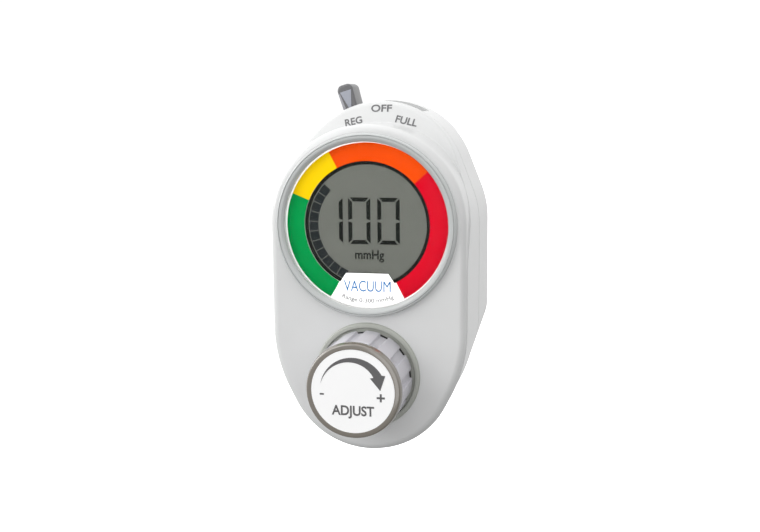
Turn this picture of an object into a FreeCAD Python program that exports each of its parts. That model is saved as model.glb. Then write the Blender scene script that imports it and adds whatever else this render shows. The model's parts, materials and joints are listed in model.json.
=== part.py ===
import FreeCAD, Part
import math
import os

# Wall-mounted digital vacuum regulator, in millimetres.
# The origin is the centre of the rear inlet's mouth, on the flat back of the housing.
# +Y points into the wall, +X to the right seen from the front, +Z up. The front faces -Y.

V = FreeCAD.Vector

# ---- housing -------------------------------------------------------------------------------
DEPTH = 59.5            # front face of the pod to the flat back
WALL = 2.5              # wall thickness of both covers
PARTING_Y = -26.0       # plane where the front cover meets the rear housing
SHOULDER_Y = -55.8      # depth at which the body behind the pod begins
GAUGE_Z = 32.0          # height of the gauge and lever axis
KNOB_Z = -32.5          # height of the adjusting knob's axis
POD_HALF_WIDTH = 42.3   # half width of the pod, and radius of its round top
POD_BOTTOM_Z = -66.1
POD_EDGE_R = 3.2        # rounding around the pod's front face
POD_BACK_Y = -29.5      # depth at which the pod has merged with the hood
HOOD_LEAN = 21.5        # degrees that the hood's face leans back from upright
HOOD_POINT = (-42.5, 48.0)   # a point (y, z) on the hood's face
BACK_EDGE_CHAMFER = 1.0
CLEAR = 0.05            # running fit, radial
FAR = 100.0             # beyond the object in any direction

# Half width, corner heights, corner angles and corner radii of the body, at its front and back.
FRONT_OUTLINE = dict(half_width=42.65, upper_z=37.7, upper_deg=20.0, upper_r=42.3, top_z=83.6,
                     lower_z=-27.6, lower_deg=27.3, lower_r=62.0, bottom_z=-66.4)
BACK_OUTLINE = dict(half_width=44.6, upper_z=37.7, upper_deg=21.5, upper_r=40.0, top_z=84.0,
                    lower_z=-12.0, lower_deg=18.7, lower_r=15.0, bottom_z=-65.0)

# ---- gauge ---------------------------------------------------------------------------------
DIAL_R = 35.5           # dial plate, behind the bezel
DIAL_Y = -58.0          # printed face of the dial plate
DIAL_T = 0.8
WINDOW_R = 27.2         # round window of the display
BEZEL_R = 38.9
BEZEL_INNER_R = 35.2
BEZEL_H = 2.9           # how far the bezel stands proud of the pod
LENS_R = 36.8
LENS_T = 1.6
GAUGE_BORE_R = 32.6
GAUGE_BOSS_Y = -53.2    # back of the boss around the gauge
CASE_R = 33.6
CASE_BACK_Y = -39.9
BOARD_Y = -50.0
BOARD_T = 1.6
CASE_SCREW_PCR = 36.9
CASE_SCREW_ANGLES = (90.0, 210.0, 330.0)
CELL_X = -12.0          # coin cell
CELL_Z = GAUGE_Z + 6.0
CELL_R = 12.25
CELL_T = 5.0

# ---- adjusting knob ------------------------------------------------------------------------
KNOB_R = 20.0
KNOB_FRONT_Y = -86.3
KNOB_BODY_FRONT_Y = -83.4
KNOB_BACK_Y = -61.2
KNOB_LOBES = 12
NOTCH_DEG = 10.8
NOTCH_START_DEG = -6.0  # the first notch, clockwise from upright
NOTCH_DEPTH = 1.2
KNOB_DISC_R = 17.4
COLLAR_R = 23.0
COLLAR_T = 1.15
COLLAR_INNER_R = 20.6
COLLAR_FLOOR_T = 0.3
BUSH_R = 9.0
SPINDLE_R = 4.0
THREAD_R = 3.4

# ---- regulator -----------------------------------------------------------------------------
BLOCK_FRONT_Y = -24.0
BLOCK_BACK_Y = -3.0
BLOCK_HALF_WIDTH = 14.0
BLOCK_TOP_Z = 44.0
BLOCK_BOTTOM_Z = -52.0
PAD_R = 20.0            # round pad of the manifold under the diaphragm
BONNET_R = 15.5
BONNET_BORE_R = 14.0
BONNET_FRONT_Y = -48.0
FLANGE_FRONT_Y = -27.3
DIAPHRAGM_R = 16.5
DIAPHRAGM_T = 0.8
BONNET_SCREW_PCR = 18.1
CARRIER_FRONT_Y = -43.0
CARRIER_T = 4.0
SPRING_R = 9.5
SPRING_WIRE_R = 0.95
STEM_R = 1.5
POPPET_R = 4.5
POPPET_Y = -15.1        # sealing face of the poppet

# ---- mode selector -------------------------------------------------------------------------
LEVER_TILT = 16.7       # degrees left of upright in the REG position
LEVER_TIP_R = 61.9
LEVER_CROWN_H = 2.3     # height of the arched top of the grip
LEVER_FRONT_Y = -25.2
LEVER_BACK_Y = -10.6
LEVER_TIP_W = 7.2
LEVER_NECK_W = 6.3
LEVER_NECK_R = 48.0
SHIELD_R = 40.5         # curved shield under the housing's top, which closes the slot
SHIELD_FRONT_Y = -28.6
SHIELD_BACK_Y = -7.0
ARM_R = 37.7
SHIELD_HALF_DEG = 38.5
SLOT_HALF_DEG = 21.4
SLOT_BACK_Y = -9.4
HUB_R = 8.5
HUB_FRONT_Y = -38.0
DETENT_FACE_Y = -26.2
DETENT_R = 12.0
ROTOR_R = 5.95

# ---- ports ---------------------------------------------------------------------------------
PORT_R = 4.3            # bore of the 1/8 in pipe thread
PORT_LENGTH = 10.5
FITTING_R = 8.0
OUTLET_Y = -13.5
OUTLET_MOUTH_Z = -70.0

HOUSING_SCREWS = [(sx * 37.2, z) for sx in (-1, 1) for z in (37.0, -13.0)]
MANIFOLD_SCREWS = [(-11.0, 41.0), (11.0, 41.0), (-12.0, -48.0), (12.0, -48.0)]
RETAINER_SCREWS = [(sx * 9.0, GAUGE_Z + 3.5) for sx in (-1, 1)]
SENSOR_XZ = (10.0, 12.0)


# ---- helpers -------------------------------------------------------------------------------
def rod(r, y0, y1, x=0.0, z=0.0):
    """A cylinder along Y from y0 to y1."""
    return Part.makeCylinder(r, y1 - y0, V(x, y0, z), V(0, 1, 0))


def tube(r_out, r_in, y0, y1, x=0.0, z=0.0):
    return rod(r_out, y0, y1, x, z).cut(rod(r_in, y0 - 1, y1 + 1, x, z))


def upright(r, z0, z1, x, y):
    """A cylinder along Z from z0 to z1."""
    return Part.makeCylinder(r, z1 - z0, V(x, y, z0), V(0, 0, 1))


def block(x0, x1, y0, y1, z0, z1):
    return Part.makeBox(x1 - x0, y1 - y0, z1 - z0, V(x0, y0, z0))


def turned(profile, x=0.0, z=0.0):
    """A solid turned about the Y axis through (x, z), from (radius, y) corners."""
    points = [V(x + r, y, z) for r, y in profile]
    face = Part.Face(Part.makePolygon(points + points[:1]))
    return face.revolve(V(x, 0, z), V(0, 1, 0), 360)


def polar(radius, degrees, x=0.0, z=0.0):
    """A point (x, z) at a radius and an angle from +X towards +Z."""
    a = math.radians(degrees)
    return x + radius * math.cos(a), z + radius * math.sin(a)


def swung(shape, degrees):
    """The shape turned about the lever's axis, clockwise seen from the front."""
    turned_shape = shape.copy()
    turned_shape.rotate(V(0, 0, GAUGE_Z), V(0, 1, 0), degrees)
    return turned_shape


def fused(shapes):
    return shapes[0].multiFuse(shapes[1:]).removeSplitter()


def coil(radius, wire_r, y0, y1, turns, x, z):
    """A helical spring along Y whose wire stays between y0 and y1."""
    height = y1 - y0 - 2 * wire_r
    path = Part.makeHelix(height / turns, height, radius)
    circle = Part.Wire(Part.makeCircle(wire_r, V(radius, 0, 0), V(0, 1, 0)))
    solid = Part.Wire(path).makePipeShell([circle], True, True)
    solid.rotate(V(0, 0, 0), V(1, 0, 0), -90)
    solid.translate(V(x, y0 + wire_r, z))
    return solid


def pan_screw(head_r, head_h, shank_r, length, y, x, z, toward=1):
    """A pan-head screw whose head sits against y; toward is the shank's direction along Y."""
    head = rod(head_r, min(y, y - toward * head_h), max(y, y - toward * head_h), x, z)
    shank = rod(shank_r, min(y, y + toward * length), max(y, y + toward * length), x, z)
    top = y - toward * head_h
    slot = block(x - head_r, x + head_r, min(top, top + toward * 0.6),
                 max(top, top + toward * 0.6), z - 0.3, z + 0.3)
    return head.fuse(shank).cut(slot)


BONNET_SCREWS = [polar(BONNET_SCREW_PCR, 45 + 90 * i, 0, KNOB_Z) for i in range(4)]


# ---- body outlines -------------------------------------------------------------------------
def corner(half_width, z, degrees, bend_r, end_z, up):
    """Points (x, z) of one rounded corner: the bend's start, middle and end, where the slanted
    line meets the end arc, and that arc's crown. up is 1 at the top and -1 at the bottom."""
    a = math.radians(degrees)
    run = bend_r * math.tan(a / 2)
    cx = half_width - bend_r
    cz = z - up * run
    middle = (cx + bend_r * math.cos(a / 2), cz + up * bend_r * math.sin(a / 2))
    end = (cx + bend_r * math.cos(a), cz + up * bend_r * math.sin(a))
    reach = half_width * math.cos(a) + up * (z - end_z) * math.sin(a)
    end_r = reach / (1 - math.sin(a))
    touch = (end_r * math.cos(a), end_z - up * end_r * (1 - math.sin(a)))
    return (half_width, cz), middle, end, touch, (0.0, end_z)


def outline_edges(upper, lower, y):
    """The closed outline through an upper and a lower corner, mirrored in X."""
    def right(p):
        return V(p[0], y, p[1])

    def left(p):
        return V(-p[0], y, p[1])

    def arc(a, b, c):
        return Part.Arc(a, b, c).toShape()

    def line(a, b):
        return Part.LineSegment(a, b).toShape()

    return [
        arc(left(upper[3]), right(upper[4]), right(upper[3])),
        line(right(upper[3]), right(upper[2])),
        arc(right(upper[2]), right(upper[1]), right(upper[0])),
        line(right(upper[0]), right(lower[0])),
        arc(right(lower[0]), right(lower[1]), right(lower[2])),
        line(right(lower[2]), right(lower[3])),
        arc(right(lower[3]), right(lower[4]), left(lower[3])),
        line(left(lower[3]), left(lower[2])),
        arc(left(lower[2]), left(lower[1]), left(lower[0])),
        line(left(lower[0]), left(upper[0])),
        arc(left(upper[0]), left(upper[1]), left(upper[2])),
        line(left(upper[2]), left(upper[3])),
    ]


def body_section(y, inset):
    """The body's outline at depth y, moved inwards by inset."""
    t = (y + DEPTH) / DEPTH
    p = {k: FRONT_OUTLINE[k] + (BACK_OUTLINE[k] - FRONT_OUTLINE[k]) * t for k in FRONT_OUTLINE}
    half = p["half_width"] - inset
    upper = corner(half, p["upper_z"], p["upper_deg"], p["upper_r"] - inset, p["top_z"] - inset, 1)
    lower = corner(half, p["lower_z"], p["lower_deg"], p["lower_r"] - inset,
                   p["bottom_z"] + inset, -1)
    return Part.Wire(outline_edges(upper, lower, y))


def pod(inset, edge_r):
    """The raised front that carries the gauge and the knob: round on top, oval below."""
    y = -DEPTH + inset
    half = POD_HALF_WIDTH - inset
    lower = corner(half, FRONT_OUTLINE["lower_z"], FRONT_OUTLINE["lower_deg"],
                   FRONT_OUTLINE["lower_r"] - inset, POD_BOTTOM_Z + inset, -1)
    top = Part.Arc(V(-half, y, GAUGE_Z), V(0, y, GAUGE_Z + half), V(half, y, GAUGE_Z)).toShape()
    right = [V(px, y, pz) for px, pz in lower]
    left = [V(-px, y, pz) for px, pz in lower]
    edges = [
        top,
        Part.LineSegment(V(half, y, GAUGE_Z), right[0]).toShape(),
        Part.Arc(right[0], right[1], right[2]).toShape(),
        Part.LineSegment(right[2], right[3]).toShape(),
        Part.Arc(right[3], right[4], left[3]).toShape(),
        Part.LineSegment(left[3], left[2]).toShape(),
        Part.Arc(left[2], left[1], left[0]).toShape(),
        Part.LineSegment(left[0], V(-half, y, GAUGE_Z)).toShape(),
    ]
    solid = Part.Face(Part.Wire(edges)).extrude(V(0, POD_BACK_Y - y, 0))
    rim = [e for e in solid.Edges if e.BoundBox.YMax < y + 0.001]
    return solid.makeFillet(edge_r, rim)


def in_front_of_hood(inset):
    """The space in front of the hood's leaning face, moved back by inset."""
    lean = math.radians(HOOD_LEAN)
    along = V(0, math.sin(lean), math.cos(lean))
    outward = V(0, -math.cos(lean), math.sin(lean))
    foot = V(-FAR, HOOD_POINT[0], HOOD_POINT[1]) - outward * inset - along * 2 * FAR
    head = foot + along * 4 * FAR
    corners = [foot, head, head + outward * 2 * FAR, foot + outward * 2 * FAR, foot]
    return Part.Face(Part.makePolygon(corners)).extrude(V(2 * FAR, 0, 0))


def envelope(inset, edge_r):
    """The whole housing's shape as one solid, moved inwards by inset."""
    front = body_section(SHOULDER_Y + inset, inset)
    back = body_section(-inset, inset)
    body = Part.makeLoft([front, back], True, True).cut(in_front_of_hood(inset))
    return body.fuse(pod(inset, edge_r)).removeSplitter()


def housing_solid():
    """The outer envelope with its back edge chamfered."""
    outer = envelope(0.0, POD_EDGE_R)
    back_rim = [e for e in outer.Edges if e.BoundBox.YMin > -0.001]
    return outer.makeChamfer(BACK_EDGE_CHAMFER, back_rim)


OUTER = housing_solid()
INNER = envelope(WALL, 0.8)
FRONT_HALF = block(-FAR, FAR, -FAR, PARTING_Y, -FAR, FAR)
BACK_HALF = block(-FAR, FAR, PARTING_Y, FAR, -FAR, FAR)


# ---- covers --------------------------------------------------------------------------------
def front_cover():
    shell = OUTER.cut(INNER).common(FRONT_HALF)
    gauge_boss = tube(39.9, GAUGE_BORE_R, -DEPTH + 1.0, GAUGE_BOSS_Y, 0, GAUGE_Z)
    knob_boss = rod(BUSH_R + 3.5, -DEPTH + 1.0, -53.0, 0, KNOB_Z)
    posts = [rod(3.6, -DEPTH + 1.5, PARTING_Y, x, z) for x, z in HOUSING_SCREWS]
    extras = fused([gauge_boss, knob_boss] + posts).common(OUTER)
    cover = shell.fuse(extras)
    holes = [
        rod(DIAL_R + 0.1, -DEPTH - 1, -56.6, 0, GAUGE_Z),
        rod(GAUGE_BORE_R, -DEPTH - 1, GAUGE_BOSS_Y + 1, 0, GAUGE_Z),
        rod(BUSH_R + CLEAR, -DEPTH - 1, -50.0, 0, KNOB_Z),
    ]
    holes += [rod(1.5, PARTING_Y - 12.0, PARTING_Y + 1, x, z) for x, z in HOUSING_SCREWS]
    for angle in CASE_SCREW_ANGLES:
        x, z = polar(CASE_SCREW_PCR, angle, 0, GAUGE_Z)
        holes.append(rod(0.85, GAUGE_BOSS_Y - 2.9, GAUGE_BOSS_Y + 1, x, z))
    return cover.cut(Part.makeCompound(holes)).removeSplitter()


def wedge(half_deg, y0, y1):
    """The space within half_deg of upright above the lever's axis, from y0 to y1."""
    span = math.radians(half_deg)
    side = FAR * math.sin(span)
    high = GAUGE_Z + FAR * math.cos(span)
    points = [V(0, y0, GAUGE_Z), V(side, y0, high), V(-side, y0, high), V(0, y0, GAUGE_Z)]
    return Part.Face(Part.makePolygon(points)).extrude(V(0, y1 - y0, 0))


def lever_slot():
    """The opening in the top of the rear housing that the lever swings in."""
    slot = wedge(SLOT_HALF_DEG, PARTING_Y - 1, SLOT_BACK_Y)
    return slot.common(block(-FAR, FAR, -FAR, 0, GAUGE_Z + SHIELD_R + 2.0, 2 * FAR))


def rear_housing():
    shell = OUTER.cut(INNER).common(BACK_HALF)
    posts = [rod(4.0, PARTING_Y, -1.0, x, z) for x, z in HOUSING_SCREWS]
    inlet_boss = rod(FITTING_R + 2.5, BLOCK_BACK_Y, -1.0, 0, 0)
    extras = fused(posts + [inlet_boss]).common(OUTER)
    housing = shell.fuse(extras)
    holes = [lever_slot(), rod(FITTING_R + CLEAR, -6.0, 1.0, 0, 0),
             upright(FITTING_R + CLEAR, -80.0, -58.0, 0, OUTLET_Y)]
    for x, z in HOUSING_SCREWS:
        holes.append(rod(1.7, PARTING_Y - 1, 1.0, x, z))
        holes.append(rod(3.0, -18.0, 1.0, x, z))
    for x, z in MANIFOLD_SCREWS:
        holes.append(rod(1.6, -4.0, 1.0, x, z))
        holes.append(turned([(0, -1.9), (1.6, -1.9), (3.1, -0.4), (3.1, 1.0), (0, 1.0)], x, z))
    return housing.cut(Part.makeCompound(holes)).removeSplitter()


def housing_screws():
    return Part.makeCompound([pan_screw(2.7, 2.2, 1.45, 18.0, -18.0, x, z, -1)
                              for x, z in HOUSING_SCREWS])


# ---- gauge ---------------------------------------------------------------------------------
def gauge_bezel():
    face = -DEPTH
    top = face - BEZEL_H
    profile = [(LENS_R + 0.1, face), (BEZEL_R, face), (BEZEL_R - 0.1, face - 1.4),
               (BEZEL_R - 0.4, face - 2.3), (BEZEL_R - 1.2, top), (BEZEL_R - 2.4, top),
               (BEZEL_INNER_R + 0.2, face - LENS_T - 0.6), (BEZEL_INNER_R, face - LENS_T),
               (LENS_R + 0.1, face - LENS_T)]
    return turned(profile, 0, GAUGE_Z)


def gauge_lens():
    return rod(LENS_R, -DEPTH - LENS_T, -DEPTH, 0, GAUGE_Z)


def dial_plate():
    return tube(DIAL_R, WINDOW_R, DIAL_Y, DIAL_Y + DIAL_T, 0, GAUGE_Z)


def gauge_seal():
    return tube(35.4, 32.8, DIAL_Y + DIAL_T, -56.6, 0, GAUGE_Z)


def lcd_panel():
    return rod(31.4, DIAL_Y + DIAL_T, DIAL_Y + DIAL_T + 2.0, 0, GAUGE_Z)


def lcd_frame():
    lcd_back = DIAL_Y + DIAL_T + 2.0
    wall = tube(32.4, 31.5, DIAL_Y + DIAL_T, BOARD_Y, 0, GAUGE_Z)
    ledge = tube(32.0, 29.6, lcd_back, lcd_back + 1.2, 0, GAUGE_Z)
    return wall.fuse(ledge).removeSplitter()


def lcd_connectors():
    lcd_back = DIAL_Y + DIAL_T + 2.0
    return Part.makeCompound([
        block(-18, 18, lcd_back, BOARD_Y, GAUGE_Z + s * 22.0 - 1.1, GAUGE_Z + s * 22.0 + 1.1)
        for s in (-1, 1)])


def circuit_board():
    x, z = SENSOR_XZ
    board = rod(31.3, BOARD_Y, BOARD_Y + BOARD_T, 0, GAUGE_Z)
    pins = [rod(0.5, BOARD_Y - 1, BOARD_Y + BOARD_T + 1, x + dx, z + dz)
            for dx in (-3.0, 3.0) for dz in (-3.0, 3.0)]
    return board.cut(Part.makeCompound(pins))


def board_chips():
    back = BOARD_Y + BOARD_T
    sizes = [(14.0, 48.0, 5.0, 1.6), (17.0, 33.0, 3.0, 1.4), (-4.0, 14.0, 2.2, 1.2)]
    return Part.makeCompound([block(x - half, x + half, back, back + tall, z - half, z + half)
                              for x, z, half, tall in sizes])


def cell_holder():
    back = BOARD_Y + BOARD_T
    base = rod(CELL_R + 1.4, back, back + 0.6, CELL_X, CELL_Z)
    rim = tube(CELL_R + 1.4, CELL_R + 0.1, back + 0.6, back + 4.6, CELL_X, CELL_Z)
    mouth = block(CELL_X - 30, CELL_X - 6, back + 0.6, back + 6, CELL_Z - 7, CELL_Z + 7)
    return base.fuse(rim.cut(mouth)).removeSplitter()


def coin_cell():
    y = BOARD_Y + BOARD_T + 0.65
    cell = rod(CELL_R, y, y + CELL_T, CELL_X, CELL_Z)
    rim = [e for e in cell.Edges if e.BoundBox.YMin > y + CELL_T - 0.01]
    return cell.makeFillet(0.5, rim)


def pressure_sensor():
    x, z = SENSOR_XZ
    back = BOARD_Y + BOARD_T
    case = block(x - 4.5, x + 4.5, back, back + 4.0, z - 4.5, z + 4.5)
    port = rod(1.4, back + 4.0, back + 6.4, x, z)
    hole = rod(0.5, back + 2.0, back + 7.0, x, z)
    return case.fuse(port).cut(hole)


def sensor_tube():
    x, z = SENSOR_XZ
    return tube(2.4, 1.45, BOARD_Y + BOARD_T + 4.2, BLOCK_FRONT_Y - 0.2, x, z)


def gauge_case():
    wall = tube(CASE_R, GAUGE_BORE_R, GAUGE_BOSS_Y, CASE_BACK_Y, 0, GAUGE_Z)
    floor = rod(CASE_R, CASE_BACK_Y - 1.5, CASE_BACK_Y, 0, GAUGE_Z)
    ears = []
    holes = [rod(2.7, CASE_BACK_Y - 3, CASE_BACK_Y + 1, SENSOR_XZ[0], SENSOR_XZ[1])]
    for angle in CASE_SCREW_ANGLES:
        x, z = polar(CASE_SCREW_PCR, angle, 0, GAUGE_Z)
        ears.append(rod(2.4, GAUGE_BOSS_Y, GAUGE_BOSS_Y + 1.5, x, z))
        root_x, root_z = polar(CASE_R, angle, 0, GAUGE_Z)
        ears.append(rod(2.4, GAUGE_BOSS_Y, GAUGE_BOSS_Y + 1.5, root_x, root_z))
        holes.append(rod(0.95, GAUGE_BOSS_Y - 1, GAUGE_BOSS_Y + 3, x, z))
    bore = rod(GAUGE_BORE_R, GAUGE_BOSS_Y - 1, CASE_BACK_Y - 1.5, 0, GAUGE_Z)
    case = fused([wall, floor] + ears).cut(bore)
    return case.cut(Part.makeCompound(holes)).removeSplitter()


def gauge_case_screws():
    screws = []
    for angle in CASE_SCREW_ANGLES:
        x, z = polar(CASE_SCREW_PCR, angle, 0, GAUGE_Z)
        screws.append(pan_screw(1.7, 1.3, 0.8, 4.2, GAUGE_BOSS_Y + 1.5, x, z, -1))
    return Part.makeCompound(screws)


# ---- knob ----------------------------------------------------------------------------------
def knob_collar():
    """A raised ring around the knob's base, on a thin floor that the knob runs over."""
    face = -DEPTH
    top = face - COLLAR_T
    floor = face - COLLAR_FLOOR_T
    profile = [(BUSH_R + 0.1, face), (COLLAR_R, face), (COLLAR_R - 0.1, face - 0.5),
               (COLLAR_R - 0.5, top), (COLLAR_INNER_R + 0.3, top), (COLLAR_INNER_R, top + 0.3),
               (COLLAR_INNER_R, floor), (BUSH_R + 0.1, floor)]
    return turned(profile, 0, KNOB_Z)


def knob_body():
    shell = rod(KNOB_R, KNOB_BODY_FRONT_Y, KNOB_BACK_Y, 0, KNOB_Z)
    notch_half = math.radians(NOTCH_DEG / 2)
    pitch = 360.0 / KNOB_LOBES
    notches = []
    for i in range(KNOB_LOBES):
        half = KNOB_R * math.sin(notch_half)
        notch = block(-half, half, KNOB_BODY_FRONT_Y - 1, KNOB_BACK_Y + 1,
                      KNOB_Z + KNOB_R - NOTCH_DEPTH, KNOB_Z + KNOB_R + 3)
        notch.rotate(V(0, 0, KNOB_Z), V(0, 1, 0), NOTCH_START_DEG + pitch * i)
        notches.append(notch)
    shell = shell.cut(Part.makeCompound(notches))
    hollow = tube(KNOB_R - 3.6, 7.0, KNOB_BODY_FRONT_Y + 2.5, KNOB_BACK_Y + 1, 0, KNOB_Z)
    bore = rod(SPINDLE_R + 0.02, -80.5, KNOB_BACK_Y + 1, 0, KNOB_Z)
    screw_hole = rod(1.7, KNOB_BODY_FRONT_Y - 1, -79.0, 0, KNOB_Z)
    return shell.cut(Part.makeCompound([hollow, bore])).cut(screw_hole).removeSplitter()


def knob_rim():
    front = KNOB_FRONT_Y
    profile = [(KNOB_DISC_R - 1.2, front + 0.7), (KNOB_DISC_R + 0.05, front + 0.7),
               (KNOB_DISC_R + 0.05, front), (KNOB_DISC_R + 0.5, front),
               (KNOB_R - 0.2, front + 1.7), (KNOB_R + 0.1, front + 2.2),
               (KNOB_R + 0.1, KNOB_BODY_FRONT_Y), (KNOB_DISC_R - 1.2, KNOB_BODY_FRONT_Y)]
    return turned(profile, 0, KNOB_Z)


def knob_disc():
    return rod(KNOB_DISC_R, KNOB_FRONT_Y, KNOB_FRONT_Y + 0.7, 0, KNOB_Z)


def knob_screw():
    return pan_screw(2.9, 1.8, 1.5, 9.0, KNOB_BODY_FRONT_Y, 0, KNOB_Z)


def adjusting_spindle():
    shaft = rod(SPINDLE_R, -80.0, -46.2, 0, KNOB_Z)
    thrust = rod(5.6, -45.8, -44.6, 0, KNOB_Z)
    screw = rod(THREAD_R, -46.2, -32.0, 0, KNOB_Z)
    flat = block(-6, 6, -81, -63.0, KNOB_Z + SPINDLE_R - 0.8, KNOB_Z + 6)
    hole = rod(1.55, -81.0, -72.0, 0, KNOB_Z)
    return fused([shaft, thrust, screw]).cut(Part.makeCompound([flat, hole]))


def spindle_bush():
    profile = [(SPINDLE_R + CLEAR, -60.6), (BUSH_R, -60.6), (BUSH_R, -53.0),
               (6.0, -53.0), (6.0, -46.1), (SPINDLE_R + CLEAR, -46.1)]
    return turned(profile, 0, KNOB_Z)


# ---- regulator -----------------------------------------------------------------------------
def spring_bonnet():
    barrel = tube(BONNET_R, BONNET_BORE_R, BONNET_FRONT_Y, FLANGE_FRONT_Y, 0, KNOB_Z)
    end_wall = tube(BONNET_R, 6.05, BONNET_FRONT_Y, BONNET_FRONT_Y + 2.0, 0, KNOB_Z)
    flange = tube(PAD_R, BONNET_BORE_R, FLANGE_FRONT_Y, BLOCK_FRONT_Y, 0, KNOB_Z)
    recess = rod(DIAPHRAGM_R + 0.1, BLOCK_FRONT_Y - DIAPHRAGM_T, BLOCK_FRONT_Y + 1, 0, KNOB_Z)
    keyway = block(-BONNET_BORE_R - 0.8, BONNET_BORE_R + 0.8, BONNET_FRONT_Y + 2.0,
                   FLANGE_FRONT_Y, KNOB_Z - 1.5, KNOB_Z + 1.5)
    holes = [rod(1.1, FLANGE_FRONT_Y - 1, BLOCK_FRONT_Y + 1, x, z) for x, z in BONNET_SCREWS]
    bonnet = fused([barrel, end_wall, flange])
    return bonnet.cut(Part.makeCompound([recess, keyway] + holes)).removeSplitter()


def bonnet_screws():
    return Part.makeCompound([pan_screw(1.75, 1.5, 1.0, 10.0, FLANGE_FRONT_Y, x, z)
                              for x, z in BONNET_SCREWS])


def spring_carrier():
    back = CARRIER_FRONT_Y + CARRIER_T
    disc = rod(BONNET_BORE_R - 0.4, CARRIER_FRONT_Y, back, 0, KNOB_Z)
    hub = rod(7.0, back, back + 3.5, 0, KNOB_Z)
    keys = block(-BONNET_BORE_R - 0.5, BONNET_BORE_R + 0.5, CARRIER_FRONT_Y, back,
                 KNOB_Z - 1.2, KNOB_Z + 1.2)
    bore = rod(THREAD_R + 0.1, CARRIER_FRONT_Y - 1, back + 5, 0, KNOB_Z)
    return fused([disc, hub, keys]).cut(bore)


def range_spring():
    y0 = CARRIER_FRONT_Y + CARRIER_T + 0.35
    return coil(SPRING_R, SPRING_WIRE_R, y0, -27.15, 4.0, 0, KNOB_Z)


def diaphragm():
    return tube(DIAPHRAGM_R, STEM_R + 0.6, BLOCK_FRONT_Y - DIAPHRAGM_T, BLOCK_FRONT_Y, 0, KNOB_Z)


def diaphragm_plate():
    back = BLOCK_FRONT_Y - DIAPHRAGM_T - 0.05
    profile = [(STEM_R, back - 2.0), (5.0, back - 2.0), (5.0, back - 1.6), (11.5, back - 1.6),
               (12.0, back - 1.1), (12.0, back), (STEM_R, back)]
    return turned(profile, 0, KNOB_Z)


def valve_poppet():
    """The stem through the diaphragm, its clamping washer and the poppet behind the seat."""
    washer_y = BLOCK_FRONT_Y + 0.05
    profile = [(0, -27.4), (STEM_R, -27.4), (STEM_R, washer_y), (6.0, washer_y),
               (6.0, washer_y + 1.0), (STEM_R, washer_y + 1.0), (STEM_R, POPPET_Y),
               (POPPET_R, POPPET_Y), (POPPET_R, POPPET_Y + 2.4), (2.2, POPPET_Y + 3.0),
               (2.2, POPPET_Y + 3.8), (0, POPPET_Y + 3.8)]
    return turned(profile, 0, KNOB_Z)


def valve_seat():
    profile = [(2.6, -18.0), (5.9, -18.0), (5.9, POPPET_Y - 0.75), (3.6, POPPET_Y - 0.75),
               (3.3, POPPET_Y - 0.35), (2.6, POPPET_Y - 0.35)]
    return turned(profile, 0, KNOB_Z)


def poppet_spring():
    return coil(3.4, 0.3, POPPET_Y + 3.0 + 0.35, -8.35, 3.0, 0, KNOB_Z)


def valve_plug():
    plug = rod(6.4, -8.0, -3.2, 0, KNOB_Z)
    slot = block(-5, 5, -4.4, -2.0, KNOB_Z - 0.6, KNOB_Z + 0.6)
    return plug.cut(slot)


def manifold_block():
    """The body of the regulator, with its valve, selector and port bores and drilled passages."""
    bar = block(-BLOCK_HALF_WIDTH, BLOCK_HALF_WIDTH, BLOCK_FRONT_Y, BLOCK_BACK_Y,
                BLOCK_BOTTOM_Z, BLOCK_TOP_Z)
    pad = rod(PAD_R, BLOCK_FRONT_Y, BLOCK_BACK_Y, 0, KNOB_Z)
    nipple = rod(1.4, BLOCK_FRONT_Y - 4.0, BLOCK_FRONT_Y + 1, *SENSOR_XZ)
    body = fused([bar, pad, nipple])
    x, z = SENSOR_XZ
    cuts = [
        rod(13.0, BLOCK_FRONT_Y - 1, -21.5, 0, KNOB_Z),
        rod(5.95, -22.0, -15.8, 0, KNOB_Z),
        rod(5.4, -16.0, -7.9, 0, KNOB_Z),
        rod(6.45, -8.0, BLOCK_BACK_Y + 1, 0, KNOB_Z),
        rod(ROTOR_R + CLEAR, BLOCK_FRONT_Y - 1, -9.0, 0, GAUGE_Z),
        rod(FITTING_R + CLEAR, -10.5, BLOCK_BACK_Y + 1, 0, 0),
        tube(7.45, 6.15, -11.6, -10.0, 0, 0),
        rod(4.8, -13.0, -10.0, 0, 0),
        upright(2.0, 0.0, GAUGE_Z, 0, -15.0),
        upright(2.0, KNOB_Z, 0.0, 0, -11.8),
        rod(2.0, -17.0, -12.0, 0, 0),
        upright(6.55, BLOCK_BOTTOM_Z - 1, -46.0, 0, OUTLET_Y),
        upright(1.6, -47.0, GAUGE_Z, -9.5, -15.0),
        block(-10.4, -4.6, -16.0, -14.0, GAUGE_Z - 1.0, GAUGE_Z + 1.0),
        block(-10.4, 0.5, -15.0, -13.0, -47.5, -45.5),
        rod(0.5, BLOCK_FRONT_Y - 5, -14.0, x, z),
        rod(1.6, BLOCK_FRONT_Y - 1, -14.0, 0, GAUGE_Z - DETENT_R),
    ]
    cuts += [rod(1.5, -16.0, BLOCK_BACK_Y + 1, sx, sz) for sx, sz in MANIFOLD_SCREWS]
    cuts += [rod(1.05, BLOCK_FRONT_Y - 1, -16.5, sx, sz) for sx, sz in BONNET_SCREWS]
    cuts += [rod(1.05, BLOCK_FRONT_Y - 1, -18.0, sx, sz) for sx, sz in RETAINER_SCREWS]
    return body.cut(cuts).removeSplitter()


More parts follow.
